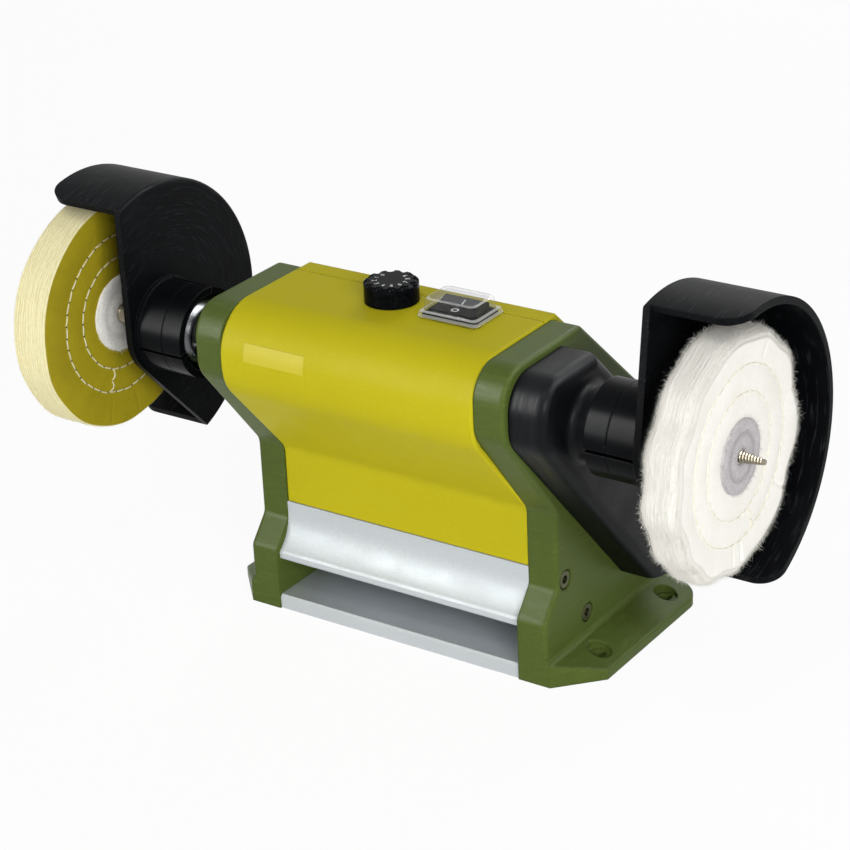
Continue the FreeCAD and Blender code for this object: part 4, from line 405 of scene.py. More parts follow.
def piece(name, vertices, faces, materials, body, slots=None, tone=None, smooth=True):
    """A mesh object that rides on a body and takes the finishes that it is given."""
    mesh = bpy.data.meshes.new(name)
    mesh.from_pydata([tuple(vertex) for vertex in vertices], [], [tuple(face) for face in faces])
    mesh.validate()
    for material in materials:
        mesh.materials.append(material)
    if slots is not None:
        mesh.polygons.foreach_set("material_index", slots)
    if tone is not None:
        mesh.attributes.new("tone", "FLOAT", "POINT").data.foreach_set("value", tone)
    mesh.polygons.foreach_set("use_smooth", [smooth] * len(mesh.polygons))
    bm = bmesh.new()
    bm.from_mesh(mesh)
    bmesh.ops.recalc_face_normals(bm, faces=bm.faces)
    bm.to_mesh(mesh)
    bm.free()
    made = bpy.data.objects.new(name, mesh)
    bpy.context.scene.collection.objects.link(made)
    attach(made, body)
    return made


def around_axis(x, radius, angle):
    """A point at a distance from the spindle's axis, with the angle from +Y towards +Z."""
    return np.stack([x, AXIS.y + radius * np.cos(angle), AXIS.z + radius * np.sin(angle)], axis=-1)


def grid_faces(rows, columns, closed_rows=False, start=0):
    """Quads for a grid of vertices that begins at a place in the list and closes on itself sideways."""
    row_count = rows if closed_rows else rows - 1
    faces = []
    for row in range(row_count):
        below, above = start + row * columns, start + (row + 1) % rows * columns
        for column in range(columns):
            after = (column + 1) % columns
            faces.append((below + column, below + after, above + after, above + column))
    return faces


def waves(angle, rng, counts, falling=0.6):
    """A smooth random curve round a circle, from -1 to 1, with lobes within a range of counts."""
    total = np.zeros_like(angle)
    weight = 0.0
    for count in range(*counts):
        share = rng.uniform(0.4, 1.0) / (count - counts[0] + 1) ** falling
        total = total + share * np.sin(count * angle + rng.uniform(0, 2 * math.pi))
        weight += share
    return total / weight * 1.6


def paint(names, material):
    """Give each CAD node its finish in place of the plain one."""
    for name in names:
        for place in NODES[name].material_slots:
            place.material = material


# ---- buffs -----------------------------------------------------------------------------------


class BuffShape:
    """The sizes of one buff, read from its solids, and what makes its cloth its own.

    The cloth's own sizes are given in millimetres: how round the rim's edges are, how far its lumps,
    its frayed layers and the grooves between them go in, how far a layer wanders along the shaft, how
    ragged the outboard edge is, how deep the faces are quilted, and each crease's angle and depth.
    """

    core = 2.4 * MM  # where the cloth starts, hidden inside the spindle
    rings = (24.3 * MM, 34.5 * MM)  # the two rings of stitches
    flare_start = 35.0 * MM  # from here out the layers spread
    hub_sink = 0.55  # millimetres from the hub plane down to the cloth

    def __init__(
        self, node, discs, seed, layers, edge_round, lumps, fray, groove, wander, ragged, quilt, creases
    ):
        low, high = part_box(node)
        disc_low, disc_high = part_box(discs)
        self.node, self.discs = node, discs
        self.side = 1 if low.x > 0 else -1
        self.radius = (high.z - low.z) / 2
        self.hub = (disc_high.z - disc_low.z) / 2
        self.flare = disc_low.x + DISC - low.x
        faces = (disc_low.x + DISC, disc_high.x - DISC)
        self.inner, self.outer = faces if self.side > 0 else reversed(faces)
        self.seed, self.layers, self.quilt = seed, layers, quilt
        self.edge_round, self.lumps, self.fray = edge_round * MM, lumps * MM, fray * MM
        self.groove, self.wander, self.ragged = groove * MM, wander * MM, ragged * MM
        self.creases = [(math.radians(angle), depth) for angle, depth in creases]

    def curve(self, key, counts, angle, falling=0.3):
        """One random curve round the buff, the same each time that it is asked for."""
        return waves(angle, np.random.default_rng(self.seed * 100 + key), counts, falling)

    def rim_radius(self, angle):
        """How far the cloth reaches at each angle, never past the solid's own radius."""
        return self.radius - self.lumps * (1 + self.curve(1, (6, 15), angle, 0.1)) - 0.2 * MM

    def sink(self, radius, angle):
        """How far a face stands in from its hub plane: quilted inside the rings, flared outside."""
        first, second = self.rings
        sink = np.full_like(radius, self.hub_sink)
        # pillows from the hub disc to the first ring, between the rings, and a lower one outside them
        for start, end in ((self.hub, first), (first, second)):
            share = np.clip((radius - start) / (end - start), 0, 1)
            sink = sink - self.quilt * np.sin(math.pi * share) ** 0.7
        outside = np.clip((radius - second) / (self.radius - second), 0, 1)
        sink = sink - self.quilt * 0.8 * np.sin(math.pi * np.clip(outside * 1.1, 0, 1)) ** 0.9
        # the cloth puckers across each ring of stitches and waves towards the rim
        pucker = self.curve(3, (26, 60), angle + radius * 22, 0.1)
        for ring, width in ((second, 4.5), (first, 3.5)):
            sink = sink + 0.14 * pucker * np.exp(-(((radius - ring) / (width * MM)) ** 2))
        sink = sink + 0.5 * outside**2 * (1 + self.curve(2, (4, 11), angle))
        for crease, depth in self.creases:
            gap = np.abs((angle - crease + math.pi) % (2 * math.pi) - math.pi) * radius
            sink = sink + depth * np.exp(-((gap / (0.8 * MM)) ** 2)) * np.clip(outside * 3, 0, 1)
        flared = np.clip((radius - self.flare_start) / (self.radius - self.flare_start), 0, 1)
        return sink * MM - self.flare * flared

    def face(self, outboard):
        """The hub plane of one face, and the direction along X that leads into the cloth."""
        return (self.outer, -self.side) if outboard else (self.inner, self.side)

    def rim_ends(self, angle):
        """Where the rim starts at the outboard face and ends at the inboard one."""
        edge = self.rim_radius(angle) - self.edge_round
        sunk = self.sink(edge, angle)
        return self.outer - self.side * sunk, self.inner + self.side * sunk


def buff_cloth(shape, face_material, rim_material, name):
    """The stack of cloth layers: two quilted faces and a rim of cut edges."""
    columns = 480
    rows_per_layer = 6
    face_steps = 44
    angle = np.linspace(0, 2 * math.pi, columns, endpoint=False)
    rng = np.random.default_rng(shape.seed)
    rim = shape.rim_radius(angle)
    rows, tones, kinds = [], [], []

    def face_rows(outboard, shares):
        face_x, inward = shape.face(outboard)
        for share in shares:
            radius = shape.core + (rim - shape.edge_round - shape.core) * share
            rows.append(around_axis(face_x + inward * shape.sink(radius, angle), radius, angle))
            soil = shape.curve(3, (26, 60), angle, 0.1) * np.clip(share * 2 - 1, 0, 1)
            tones.append(np.clip(0.15 + 0.12 * soil, 0, 1))
            kinds.append(0)

    steps = np.linspace(0, 1, face_steps)
    face_rows(True, steps)
    count = shape.layers * rows_per_layer
    frayed = [0.5 + 0.5 * waves(angle, rng, (3, 40), 0.25) for _ in range(shape.layers + 1)]
    wander = [waves(angle, rng, (3, 22), 0.4) for _ in range(shape.layers + 1)]
    shades = rng.uniform(0, 1, shape.layers + 1)
    start, end = shape.rim_ends(angle)
    ragged = shape.ragged * np.abs(waves(angle, rng, (30, 110), 0.0))
    for index in range(count + 1):
        share = index / count
        layer = min(index // rows_per_layer, shape.layers - 1)
        ridge = math.sin(math.pi * (index % rows_per_layer + 0.4) / rows_per_layer) ** 0.5
        from_edge = min(share, 1 - share) * abs(shape.outer - shape.inner)
        rounded = max(0.0, 1 - from_edge / shape.edge_round)
        drop = shape.groove * (1 - ridge) + shape.fray * frayed[layer]
        flat = math.sqrt(1 - rounded**2)
        fuzz = 0.1 * MM * flat * waves(angle, rng, (40, 150), 0.0)
        x = start + (end - start) * share + shape.wander * wander[layer] * math.sin(math.pi * share)
        x = x - shape.side * ragged * flat * (1 - share) ** 4
        rows.append(around_axis(x, rim - shape.edge_round * (1 - flat) - drop * flat - fuzz, angle))
        # the tone is painted shade in the grooves between layers, plus a random tone for each layer and
        # its fraying
        tones.append(np.clip((1 - ridge) * 0.8 + 0.15 * shades[layer] + 0.15 * frayed[layer], 0, 1))
        kinds.append(1)
    face_rows(False, steps[::-1])
    kinds = [min(kind, after) for kind, after in zip(kinds, kinds[1:] + kinds[:1])]
    slots = [kind for kind in kinds for _ in range(columns)]
    faces = grid_faces(len(rows), columns, closed_rows=True)
    materials = [face_material, rim_material]
    vertices, tone = np.concatenate(rows), np.concatenate(tones)
    made = piece(name, vertices, faces, materials, "spindle", slots, tone)
    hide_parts(shape.node)


def tube(vertices, faces, path, radii):
    """Add a thin closed tube along a path to the lists of vertices and faces."""
    sides = 6
    start = len(vertices)
    up = Vector((0.31, 0.87, 0.39)).normalized()  # along no thread on the lathe
    for index, point in enumerate(path):
        before, after = path[max(index - 1, 0)], path[min(index + 1, len(path) - 1)]
        along = (Vector(after) - Vector(before)).normalized()
        across = along.cross(up).normalized()
        other = along.cross(across)
        for side in range(sides):
            turn = 2 * math.pi * side / sides
            edge = across * math.cos(turn) + other * math.sin(turn)
            vertices.append(Vector(point) + edge * radii[index])
    faces.extend(grid_faces(len(path), sides, start=start))
    faces.append(tuple(start + side for side in range(sides)))
    faces.append(tuple(start + (len(path) - 1) * sides + side for side in reversed(range(sides))))


def on_face(shape, outboard, radius, angle, lift):
    """A point at a height above one face of the cloth."""
    radii, angles = np.array([radius]), np.array([angle])
    face_x, inward = shape.face(outboard)
    return Vector(around_axis(face_x + inward * (shape.sink(radii, angles) - lift), radii, angles)[0])


def buff_stitching(shape, stitch, thread, material, name, link_angle):
    """Two rings of running stitches on both faces, with the short run that joins the rings."""
    vertices, faces = [], []
    rng = np.random.default_rng(shape.seed + 5)
    # along one stitch: share of its length, height in thread radii and girth
    profile = (
        (0.0, -0.24, 0.7), (0.1, 0.44, 0.9), (0.35, 0.8, 1),
        (0.65, 0.8, 1), (0.9, 0.44, 0.9), (1.0, -0.24, 0.7),
    )
    girths = [thread * MM * girth for _, _, girth in profile]
    sewn = 0.88  # the rest of a stitch's length lies under the cloth
    first, second = shape.rings
    runs = max(2, round((second - first) / (stitch * MM)))

    def sew(outboard, radius_at, turn_at):
        path = [
            on_face(shape, outboard, radius_at(share), turn_at(share), thread * rise * MM)
            for share, rise, _ in profile
        ]
        tube(vertices, faces, path, girths)

    for outboard in (True, False):
        for ring in shape.rings:
            count = round(2 * math.pi * ring / (stitch * MM))
            width = 2 * math.pi / count
            for index in range(count):
                start = (index + rng.uniform(-0.04, 0.04)) * width
                drift = rng.uniform(-0.25, 0.25, 2) * MM
                sew(
                    outboard,
                    lambda share: ring + drift[0] * (1 - share) + drift[1] * share,
                    lambda share: start + width * sewn * share,
                )
        for index in range(runs):
            sew(
                outboard,
                lambda share: first + (second - first) * (index + 0.06 + share * sewn) / runs,
                lambda share: link_angle + 0.05 * math.sin(3 * share),
            )
    piece(name, vertices, faces, [material], "spindle")


def needle_holes(shape, stitch, material, name):
    """Painted shade for the needle holes that the thread goes down: dark flat ovals just over the cloth.
    """
    vertices, faces = [], []
    steps = (-0.5, -0.2, 0.2, 0.5)
    girths = [girth * MM for girth in (0.12, 0.3, 0.3, 0.12)]
    lift = 0.06 * MM
    for outboard in (True, False):
        for ring in shape.rings:
            count = round(2 * math.pi * ring / (stitch * MM))
            for index in range(count):
                turn = (index - 0.06) * 2 * math.pi / count
                path = [on_face(shape, outboard, ring + step * MM, turn, lift) for step in steps]
                tube(vertices, faces, path, girths)
    piece(name, vertices, faces, [material], "spindle")


def fibres(name, roots, outward, reach, girth, rng, material, slot):
    """Loose fibres: each is a thin three-sided hair that bends as it leaves its root."""
    count = len(roots)
    heading = outward + rng.normal(0, 0.45, (count, 3))
    heading /= np.linalg.norm(heading, axis=1, keepdims=True)
    across = np.cross(heading, rng.normal(0, 1, (count, 3)))
    across /= np.linalg.norm(across, axis=1, keepdims=True)
    above = np.cross(heading, across)
    length = reach * MM * rng.uniform(0.35, 1.0, (count, 1))
    bend = rng.normal(0, 0.5, (count, 3)) * length
    corners = []
    for share, taper in ((0.0, 1.0), (0.4, 1.0), (0.75, 0.75), (1.0, 0.2)):
        centre = roots + heading * length * share + bend * share**2
        for turn in (0.0, 2 * math.pi / 3, 4 * math.pi / 3):
            edge = across * math.cos(turn) + above * math.sin(turn)
            corners.append(centre + edge * girth * MM * taper)
    vertices = np.stack(corners, axis=1).reshape(-1, 3)
    starts = np.arange(count)[:, None, None] * len(corners)
    faces = (starts + np.array(grid_faces(len(corners) // 3, 3))[None]).reshape(-1, 4)
    piece(name, vertices, faces.tolist(), [material], "spindle")


def rim_fibres(shape, count, reach, girth, material, name, slot):
    """Short fuzz all over the rim, thickest along its two edges. Most of it lies down along the rim."""
    rng = np.random.default_rng(shape.seed + 9)
    middle = np.array([0, AXIS.y, AXIS.z])
    angle = rng.uniform(0, 2 * math.pi, count)
    start, end = shape.rim_ends(angle)
    edge = np.where(rng.random(count) < 0.5, 0.06, 0.94) + rng.normal(0, 0.03, count)
    share = np.where(rng.random(count) < 0.4, edge, rng.uniform(0.05, 0.95, count)).clip(0.03, 0.97)
    from_edge = np.minimum(share, 1 - share) * np.abs(end - start)
    rounded = np.clip(1 - from_edge / shape.edge_round, 0, 1)
    radius = shape.rim_radius(angle) - shape.edge_round * (1 - np.sqrt(1 - rounded**2)) - 0.5 * MM
    roots = around_axis(start + (end - start) * share, radius, angle)
    lean = np.where(share < 0.5, shape.side, -shape.side) * rounded
    outward = around_axis(lean, 1.0, angle) - middle
    along = around_axis(lean * 0, 1.0, angle + math.pi / 2) - middle
    lying = (rng.random(count) < 0.6)[:, None] * rng.choice([-1.0, 1.0], (count, 1))
    heading = outward * (1 - 0.75 * np.abs(lying)) + along * lying * 1.6
    roots = roots + outward * 0.45 * MM * np.abs(lying)
    fibres(name, roots, heading, reach, girth, rng, material, slot)


def hub_discs(shape, material, fringe, name, slot):
    """Two fibre washers, ragged at the edge and dished and stained where they are stitched."""
    rng = np.random.default_rng(shape.seed + 21)
    middle = np.array([0, AXIS.y, AXIS.z])
    columns = 160
    hairs = 700
    angle = np.linspace(0, 2 * math.pi, columns, endpoint=False)
    # each ring: share of the radius, height over the cloth in millimetres, and how stained it is
    profile = (
        (1.0, -0.5, 0), (1.0, 0.35, 0), (0.965, 0.8, 0), (0.88, 0.9, 0.1),
        (0.74, 0.85, 0.1), (0.66, 0.62, 0.7), (0.6, 0.6, 0.9), (0.54, 0.8, 0.4),
        (0.44, 0.9, 0.1), (0.3, 0.9, 0.2), (0.24, 0.7, 0.8), (0.2, 0.1, 1.0),
    )
    vertices, faces, tones, roots, outward = [], [], [], [], []
    for outboard in (True, False):
        ragged = 0.3 * MM * waves(angle, rng, (6, 40), 0.3)
        face_x, inward = shape.face(outboard)
        start = len(vertices)
        for share, height, stain in profile:
            radius = shape.hub * share * 0.985 + (ragged if share > 0.8 else 0)
            rough = 0.07 * MM * waves(angle, rng, (12, 70), 0.1)
            x = face_x - inward * (height * MM + rough)
            vertices.extend(around_axis(x, radius + 0 * angle, angle))
            tones.append(np.clip(stain * (0.8 + 0.5 * waves(angle, rng, (9, 50), 0.1)), 0, 1))
        faces.extend(grid_faces(len(profile), columns, start=start))
        spread = rng.uniform(0, 2 * math.pi, hairs)
        reach = shape.hub * rng.choice([0.97, 0.66], hairs, p=[0.75, 0.25])
        roots.append(around_axis(face_x - inward * 0.7 * MM + 0 * spread, reach, spread))
        outward.append(around_axis(-0.5 * inward + 0 * spread, 0.5, spread) - middle)
    made = piece(name, vertices, faces, [material], "spindle", tone=np.concatenate(tones))
    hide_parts(shape.discs)
    fibres(name + "_fringe", np.concatenate(roots), np.concatenate(outward), 1.3, 0.05, rng, fringe, slot)


def screw_thread(side, pitch, height, material):
    """The raised thread on a tapered end, of one hand on the left and the other on the right."""
    steps = 28
    plain = 0.6 * MM  # left without a thread at each end
    count = int((TAPER_TIP - TAPER_START - 2 * plain) / (pitch * MM) * steps)
    vertices = []
    for index in range(count + 1):
        along = TAPER_START + plain + index / steps * pitch * MM
        angle = 2 * math.pi * index / steps
        share = (along - TAPER_START) / (TAPER_TIP - TAPER_START)
        core = TAPER_RADIUS + (TAPER_TIP_RADIUS - TAPER_RADIUS) * share
        fade = min(1.0, index / steps, (count - index) / steps)
        for shift, rise in ((-0.42, -0.12), (-0.08, 1.0), (0.08, 1.0), (0.42, -0.12)):
            radius = core + height * MM * rise * fade
            x = side * (along + shift * pitch * MM)
            vertices.append((x, AXIS.y + radius * math.cos(angle), AXIS.z + radius * math.sin(angle)))
    faces = grid_faces(count + 1, 4)
    faces.append((0, 1, 2, 3))
    faces.append(tuple(count * 4 + lane for lane in (3, 2, 1, 0)))
    name = "thread_right" if side > 0 else "thread_left"
    piece(name, vertices, faces, [material], "spindle", smooth=False)


# ---- marks and hood --------------------------------------------------------------------------


def add_text(bm, word, height, place, weight=0.0):
    """Add the outline of a word, a printed ink's thickness proud, its strokes widened by a weight."""
    curve = bpy.data.curves.new("figure", "FONT")
    curve.body = word
    curve.size = height
    curve.align_x = "CENTER"
    curve.align_y = "CENTER"
    curve.extrude = 0.03 * MM
    curve.offset = weight * MM
    holder = bpy.data.objects.new("figure", curve)
    mesh = bpy.data.meshes.new_from_object(holder)
    mesh.transform(place)
    bm.from_mesh(mesh)
    bpy.data.meshes.remove(mesh)
    bpy.data.objects.remove(holder)
    bpy.data.curves.remove(curve)


def from_bmesh(bm, name, material, body):
    """Turn a finished bmesh into a piece."""
    vertices = [vertex.co.copy() for vertex in bm.verts]
    bm.verts.index_update()
    faces = [[vertex.index for vertex in face.verts] for face in bm.faces]
    bm.free()
    piece(name, vertices, faces, [material], body, smooth=False)


def dial_figures(material):
    """Plain numbers round the top of the dial, each upright as seen from its own edge."""
    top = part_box("speed_dial")[1].z
    ring = 6.6 * MM
    first, pitch = -204.3, 30  # degrees
    bm = bmesh.new()
    for number in range(10):
        angle = math.radians(first + pitch * number)
        spot = Vector((DIAL.x + ring * math.cos(angle), DIAL.y + ring * math.sin(angle), top))
        turn = Matrix.Rotation(angle + math.pi / 2, 4, "Z")
        add_text(bm, str(number), 2.9 * MM, Matrix.Translation(spot) @ turn)
    from_bmesh(bm, "dial_figures", material, "dial")


def rocker_marks(material):
    """The stroke on the raised half and the ring on the pressed half of the rocker."""
    tilt = Matrix.Translation(ROCKER_PIN) @ Matrix.Rotation(math.radians(9), 4, "X")
    # each half of the rocker rises by this much from its middle, which is 4 mm over the pin
    half_length, rise, middle, ink = 6.2 * MM, 0.97 * MM, 4.0 * MM, 0.03 * MM
    slope = math.atan2(rise, half_length)
    bm = bmesh.new()
    for mark, sign in (("I", 1), ("O", -1)):
        lean = Matrix.Rotation(sign * slope, 4, "X")
        spot = Matrix.Translation(Vector((0, sign * half_length / 2, middle + rise / 2 + ink)))
        add_text(bm, mark, 4.2 * MM, tilt @ spot @ lean, weight=0.09)
    from_bmesh(bm, "rocker_marks", material, "rocker")


def rounded_loop(centre, half_x, half_y, corner, z):
    """Points round a rectangle with rounded corners, at one height."""
    steps = 6
    points = []
    for index, (sign_x, sign_y) in enumerate(((1, 1), (-1, 1), (-1, -1), (1, -1))):
        for step in range(steps + 1):
            turn = math.pi / 2 * (index + step / steps)
            x = centre.x + sign_x * (half_x - corner) + corner * math.cos(turn)
            y = centre.y + sign_y * (half_y - corner) + corner * math.sin(turn)
            points.append(Vector((x, y, z)))
    return points


def splash_hood(wall, edge):
    """The clear hood: a stepped frame, nearly upright walls, a rounded brow and an even wall inside.

    Its steps and rounded edges get a paler, more opaque finish than the walls: a painted highlight where
    light gathers on them.
    """
    low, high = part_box("splash_cover")
    centre = (low + high) / 2
    half_x, half_y = (high.x - low.x) / 2, (high.y - low.y) / 2
    # each loop: height above the panel, inset from the frame's edge and corner radius, in millimetres
    outside = (
        (0.0, 0.0, 2.0), (0.8, 0.0, 2.0), (1.0, 0.25, 2.0), (1.7, 0.25, 2.0), (1.9, 0.5, 2.0),
        (2.5, 0.5, 2.0), (2.7, 0.8, 2.0), (2.75, 1.6, 2.0), (3.0, 1.8, 2.0), (6.8, 2.2, 2.2),
        (7.4, 2.45, 2.4), (7.8, 2.8, 2.6), (8.0, 3.2, 2.6),
    )
    inside = ((7.2, 3.7, 2.2), (6.8, 3.3, 1.8), (3.0, 3.0, 1.4), (1.6, 2.2, 1.4), (0.0, 2.1, 1.4))
    loops = []
    for up, inset, corner in outside + inside:
        size = (half_x - inset * MM, half_y - inset * MM, corner * MM)
        loops.append(rounded_loop(centre, *size, low.z + up * (high.z - low.z) / outside[-1][0]))
    vertices = [point for loop in loops for point in loop]
    rows, count = len(loops), len(loops[0])
    top = len(outside) - 1
    upright = (0, 4, 8, 9, *range(top + 1, rows))
    # the brow and the wall inside end in one flat face each, so no strip joins those two loops
    strips = grid_faces(rows, count, closed_rows=True)
    faces = strips[: top * count] + strips[(top + 1) * count :]
    # the upright rows take the wall finish; the steps and the brow take the edge finish, a painted
    # highlight
    slots = [0 if row in upright else 1 for row in range(rows) if row != top for _ in range(count)]
    faces.append(tuple(top * count + column for column in range(count)))
    faces.append(tuple((top + 1) * count + column for column in reversed(range(count))))
    slots.extend([0, 0])
    looks = [wall, edge]
    made = piece("splash_hood", vertices, faces, looks, "case", slots, smooth=False)
    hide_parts("splash_cover")


# ---- settings --------------------------------------------------------------------------------


def colour_setting(name, description, code):
    """A colour property with an sRGB hex default."""
    look = {"subtype": "COLOR", "size": 3, "min": 0, "max": 1, "default": rgb(code)}
    return FloatVectorProperty(name=name, description=description, **look)


def count_setting(name, description, default, low, high):
    """A whole number with limits."""
    return IntProperty(name=name, description=description, default=default, min=low, max=high)


def size_setting(name, description, default, low, high):
    """A number with limits. Its description names the unit."""
    return FloatProperty(name=name, description=description, default=default, min=low, max=high)


def lamp_setting(name, description, default):
    """The power of a lamp."""
    return FloatProperty(name=name, description=description, default=default, min=0, unit="POWER")


class LatheColours(PropertyGroup):
    """Colours of the painted parts and the cloth."""

    shell: colour_setting("Shell", "Lacquer on the front shell and the rear cover", "bcb11f")
    plates: colour_setting("End plates", "Lacquer on the two end plates", "4c5a27")
    left_cloth: colour_setting("Left cloth", "Face of the left buff", "ac9c1e")
    right_cloth: colour_setting("Right cloth", "Face of the right buff", "faf8f2")


class LatheBuffs(PropertyGroup):
    """How the cloth buffs are made up."""

    left_layers: count_setting("Left layers", "Visible layers at the left rim", 13, 4, 40)
    right_layers: count_setting("Right layers", "Visible layers at the right rim", 16, 4, 40)
    stitch: size_setting("Stitch", "Length of one stitch in millimetres", 5.2, 2, 12)
    thread: size_setting("Thread", "Thread radius in millimetres", 0.34, 0.1, 0.8)
    fibres: count_setting("Fibres", "Loose fibres on the softer rim", 18000, 0, 40000)
    pitch: size_setting("Thread pitch", "Pitch of the screw tapers in millimetres", 1.15, 0.5, 3)


class LatheStage(PropertyGroup):
    """Camera and light."""

    lens: FloatProperty(
        name="Lens",
        description="Focal length on a 36 mm wide sensor",
        default=109.92,
        min=20,
        unit="CAMERA",
    )
    key: lamp_setting("Key light", "Power of the overhead softbox", 3.8)
    front: lamp_setting("Front light", "Power of the front softbox", 5.4)
    front_panel: lamp_setting("Front panel", "Power of the front panel, which only shows reflected", 60.0)
    back_panel: lamp_setting("Back panel", "Power of the back panel, which only shows reflected", 42.0)
    side: lamp_setting("Side light", "Power of the softbox on the right", 20.5)
    back: lamp_setting("Back light", "Power of the softbox behind the lathe", 7.5)
    room: size_setting("Room light", "Strength of the room's even light", 0.22, 0, 5)


# ---- operators -------------------------------------------------------------------------------

# Metals and mouldings that need no finish of their own: colour, roughness and the nodes that have it.
METALS = {
    "machined_steel": (
        "b0b2b4",
        0.3,
        "bottom_screws neck_screws motor_can motor_shaft potentiometer dial_shaft pot_nut switch_pin"
        " board_bracket bracket_screws board_screws",
    ),
    "bearing_steel": ("c0c2c4", 0.2, "bearing_left bearing_right motor_bearings"),
    "cast_aluminium": ("b4b7ba", 0.4, "spindle_pulley motor_shield motor_pulley"),
    "plated_brass": ("b59a4e", 0.32, "switch_spades standoffs"),
    "lacquered_copper": ("8a5a34", 0.4, "armature"),
}
MOULDINGS = {
    "black_moulding": (
        "17181a",
        0.5,
        "seam_strip bearing_cap_left bearing_cap_right motor_fan cable_gland gland_nut",
    ),
    "ferrite": ("3b3b3d", 0.55, "motor_magnets"),
    "carbon": ("1c1c1d", 0.6, "motor_brushes"),
    "rubber": ("18191b", 0.65, "drive_belt"),
    "solder_mask": ("2c5a3a", 0.35, "circuit_board"),
    "component_plastic": ("202124", 0.45, "board_parts"),
}


class LATHE_OT_paintwork(Operator):
    """Lacquer the shell, rear cover and end plates, and finish the bare name plate"""

    bl_idname = "lathe.paintwork"
    bl_label = "Paintwork"

    def execute(self, context):
        colours = context.scene.lathe_colours
        paint(["housing_shell", "rear_cover"], mustard_lacquer(colours.shell))
        paint(["end_plate_left", "end_plate_right"], olive_lacquer(colours.plates))
        paint(["name_plate"], label_film())
        return {"FINISHED"}


class LATHE_OT_extrusions(Operator):
    """Finish the aluminium skirt and bottom plate"""

    bl_idname = "lathe.extrusions"
    bl_label = "Aluminium skirt and bottom plate"

    def execute(self, context):
        paint(["skirt"], anodised_aluminium())
        paint(["bottom_plate"], rolled_aluminium())
        return {"FINISHED"}


class LATHE_OT_black_parts(Operator):
    """Finish the belt cover and the two guards"""

    bl_idname = "lathe.black_parts"
    bl_label = "Black mouldings"

    def execute(self, context):
        paint(["belt_cover"], cover_plastic())
        paint(["guard_left", "guard_right"], guard_plastic())
        return {"FINISHED"}


class LATHE_OT_controls(Operator):
    """Finish the dial and the switch, and print their plain marks"""

    bl_idname = "lathe.controls"
    bl_label = "Dial and switch"

    def execute(self, context):
        ink = white_print()
        paint(["speed_dial"], dial_plastic())
        paint(["switch_body", "rocker"], switch_plastic())
        dial_figures(ink)
        rocker_marks(ink)
        wall = clear_polycarbonate("clear_polycarbonate", "9c9e9c", 0.03, 0.36)
        # the edge finish is a paler, more opaque painted highlight
        splash_hood(wall, clear_polycarbonate("polycarbonate_edge_highlight", "ecede8", 0.3, 0.9))
        return {"FINISHED"}


class LATHE_OT_metalwork(Operator):
    """Finish the screws, the left neck, the drive and what the case holds"""

    bl_idname = "lathe.metalwork"
    bl_label = "Metalwork and inner parts"

    def execute(self, context):
        paint(["case_screws"], machined_metal("phosphated_steel", "55583e", 0.4, stain="6e7058"))
        oxide = machined_metal("black_oxide_steel", "2b2c2e", 0.42, stain="3c3d3e")
        paint(["cover_screws", "motor_screws", "rear_screws"], oxide)
        paint(["neck_left"], turned_neck())
        for name, (colour, roughness, nodes) in METALS.items():
            paint(nodes.split(), machined_metal(name, colour, roughness))
        for name, (colour, roughness, nodes) in MOULDINGS.items():
            paint(nodes.split(), plain_moulding(name, colour, roughness))
        return {"FINISHED"}


class LATHE_OT_spindle(Operator):
    """Finish the spindle and cut the thread of both tapered ends"""

    bl_idname = "lathe.spindle"
    bl_label = "Spindle"

    def execute(self, context):
        steel = machined_metal("spindle_steel", "968e7c", 0.34)
        paint(["spindle"], steel)
        for side in (-1, 1):
            screw_thread(side, context.scene.lathe_buffs.pitch, 0.28, steel)
        return {"FINISHED"}


class LATHE_OT_left_buff(Operator):
    """Make the yellow stitched buff on the left end"""

    bl_idname = "lathe.left_buff"
    bl_label = "Left buff"

    def execute(self, context):
        buffs = context.scene.lathe_buffs
        shape = BuffShape(
            "buff_left", "hub_discs_left", seed=11, layers=buffs.left_layers, edge_round=0.7,
            lumps=0.3, fray=0.4, groove=0.45, wander=0.45, ragged=0.6, quilt=0.4,
            creases=((-62, 0.2), (-84, 0.15), (-107, 0.18)),
        )
        slot = "yellow_cloth"
        face = cotton_face("yellow_calico", context.scene.lathe_colours.left_cloth, "7f7414")
        rim = cotton_rim("cream_cut_edges", "f7f1cc", "c8ba6c")
        buff_cloth(shape, face, rim, "buff_left_cloth")
        thread = sewing_thread("pale_thread", "e3dcb4")
        link = math.radians(-110)
        buff_stitching(shape, buffs.stitch, buffs.thread, thread, "buff_left_stitching", link)
        # the needle holes' dark colour is painted shade
        hole_shade = plain_moulding("needle_hole", "3a3208", 0.95)
        needle_holes(shape, buffs.stitch, hole_shade, "buff_left_hole_shade")
        rim_fibres(shape, buffs.fibres // 2, 0.9, 0.025, rim, "buff_left_fibres", slot)
        # painted light: the grey felt and its edge get near-white colours, which lift them out of the
        # guard's shadow
        felt = felt_disc("grey_felt", "f8f7f2", "d6d4cd")
        fringe = felt_disc("pale_felt_edge", "f4f3ee", "d6d5cf")
        hub_discs(shape, felt, fringe, "hub_left", "hub_disc_left")
        return {"FINISHED"}


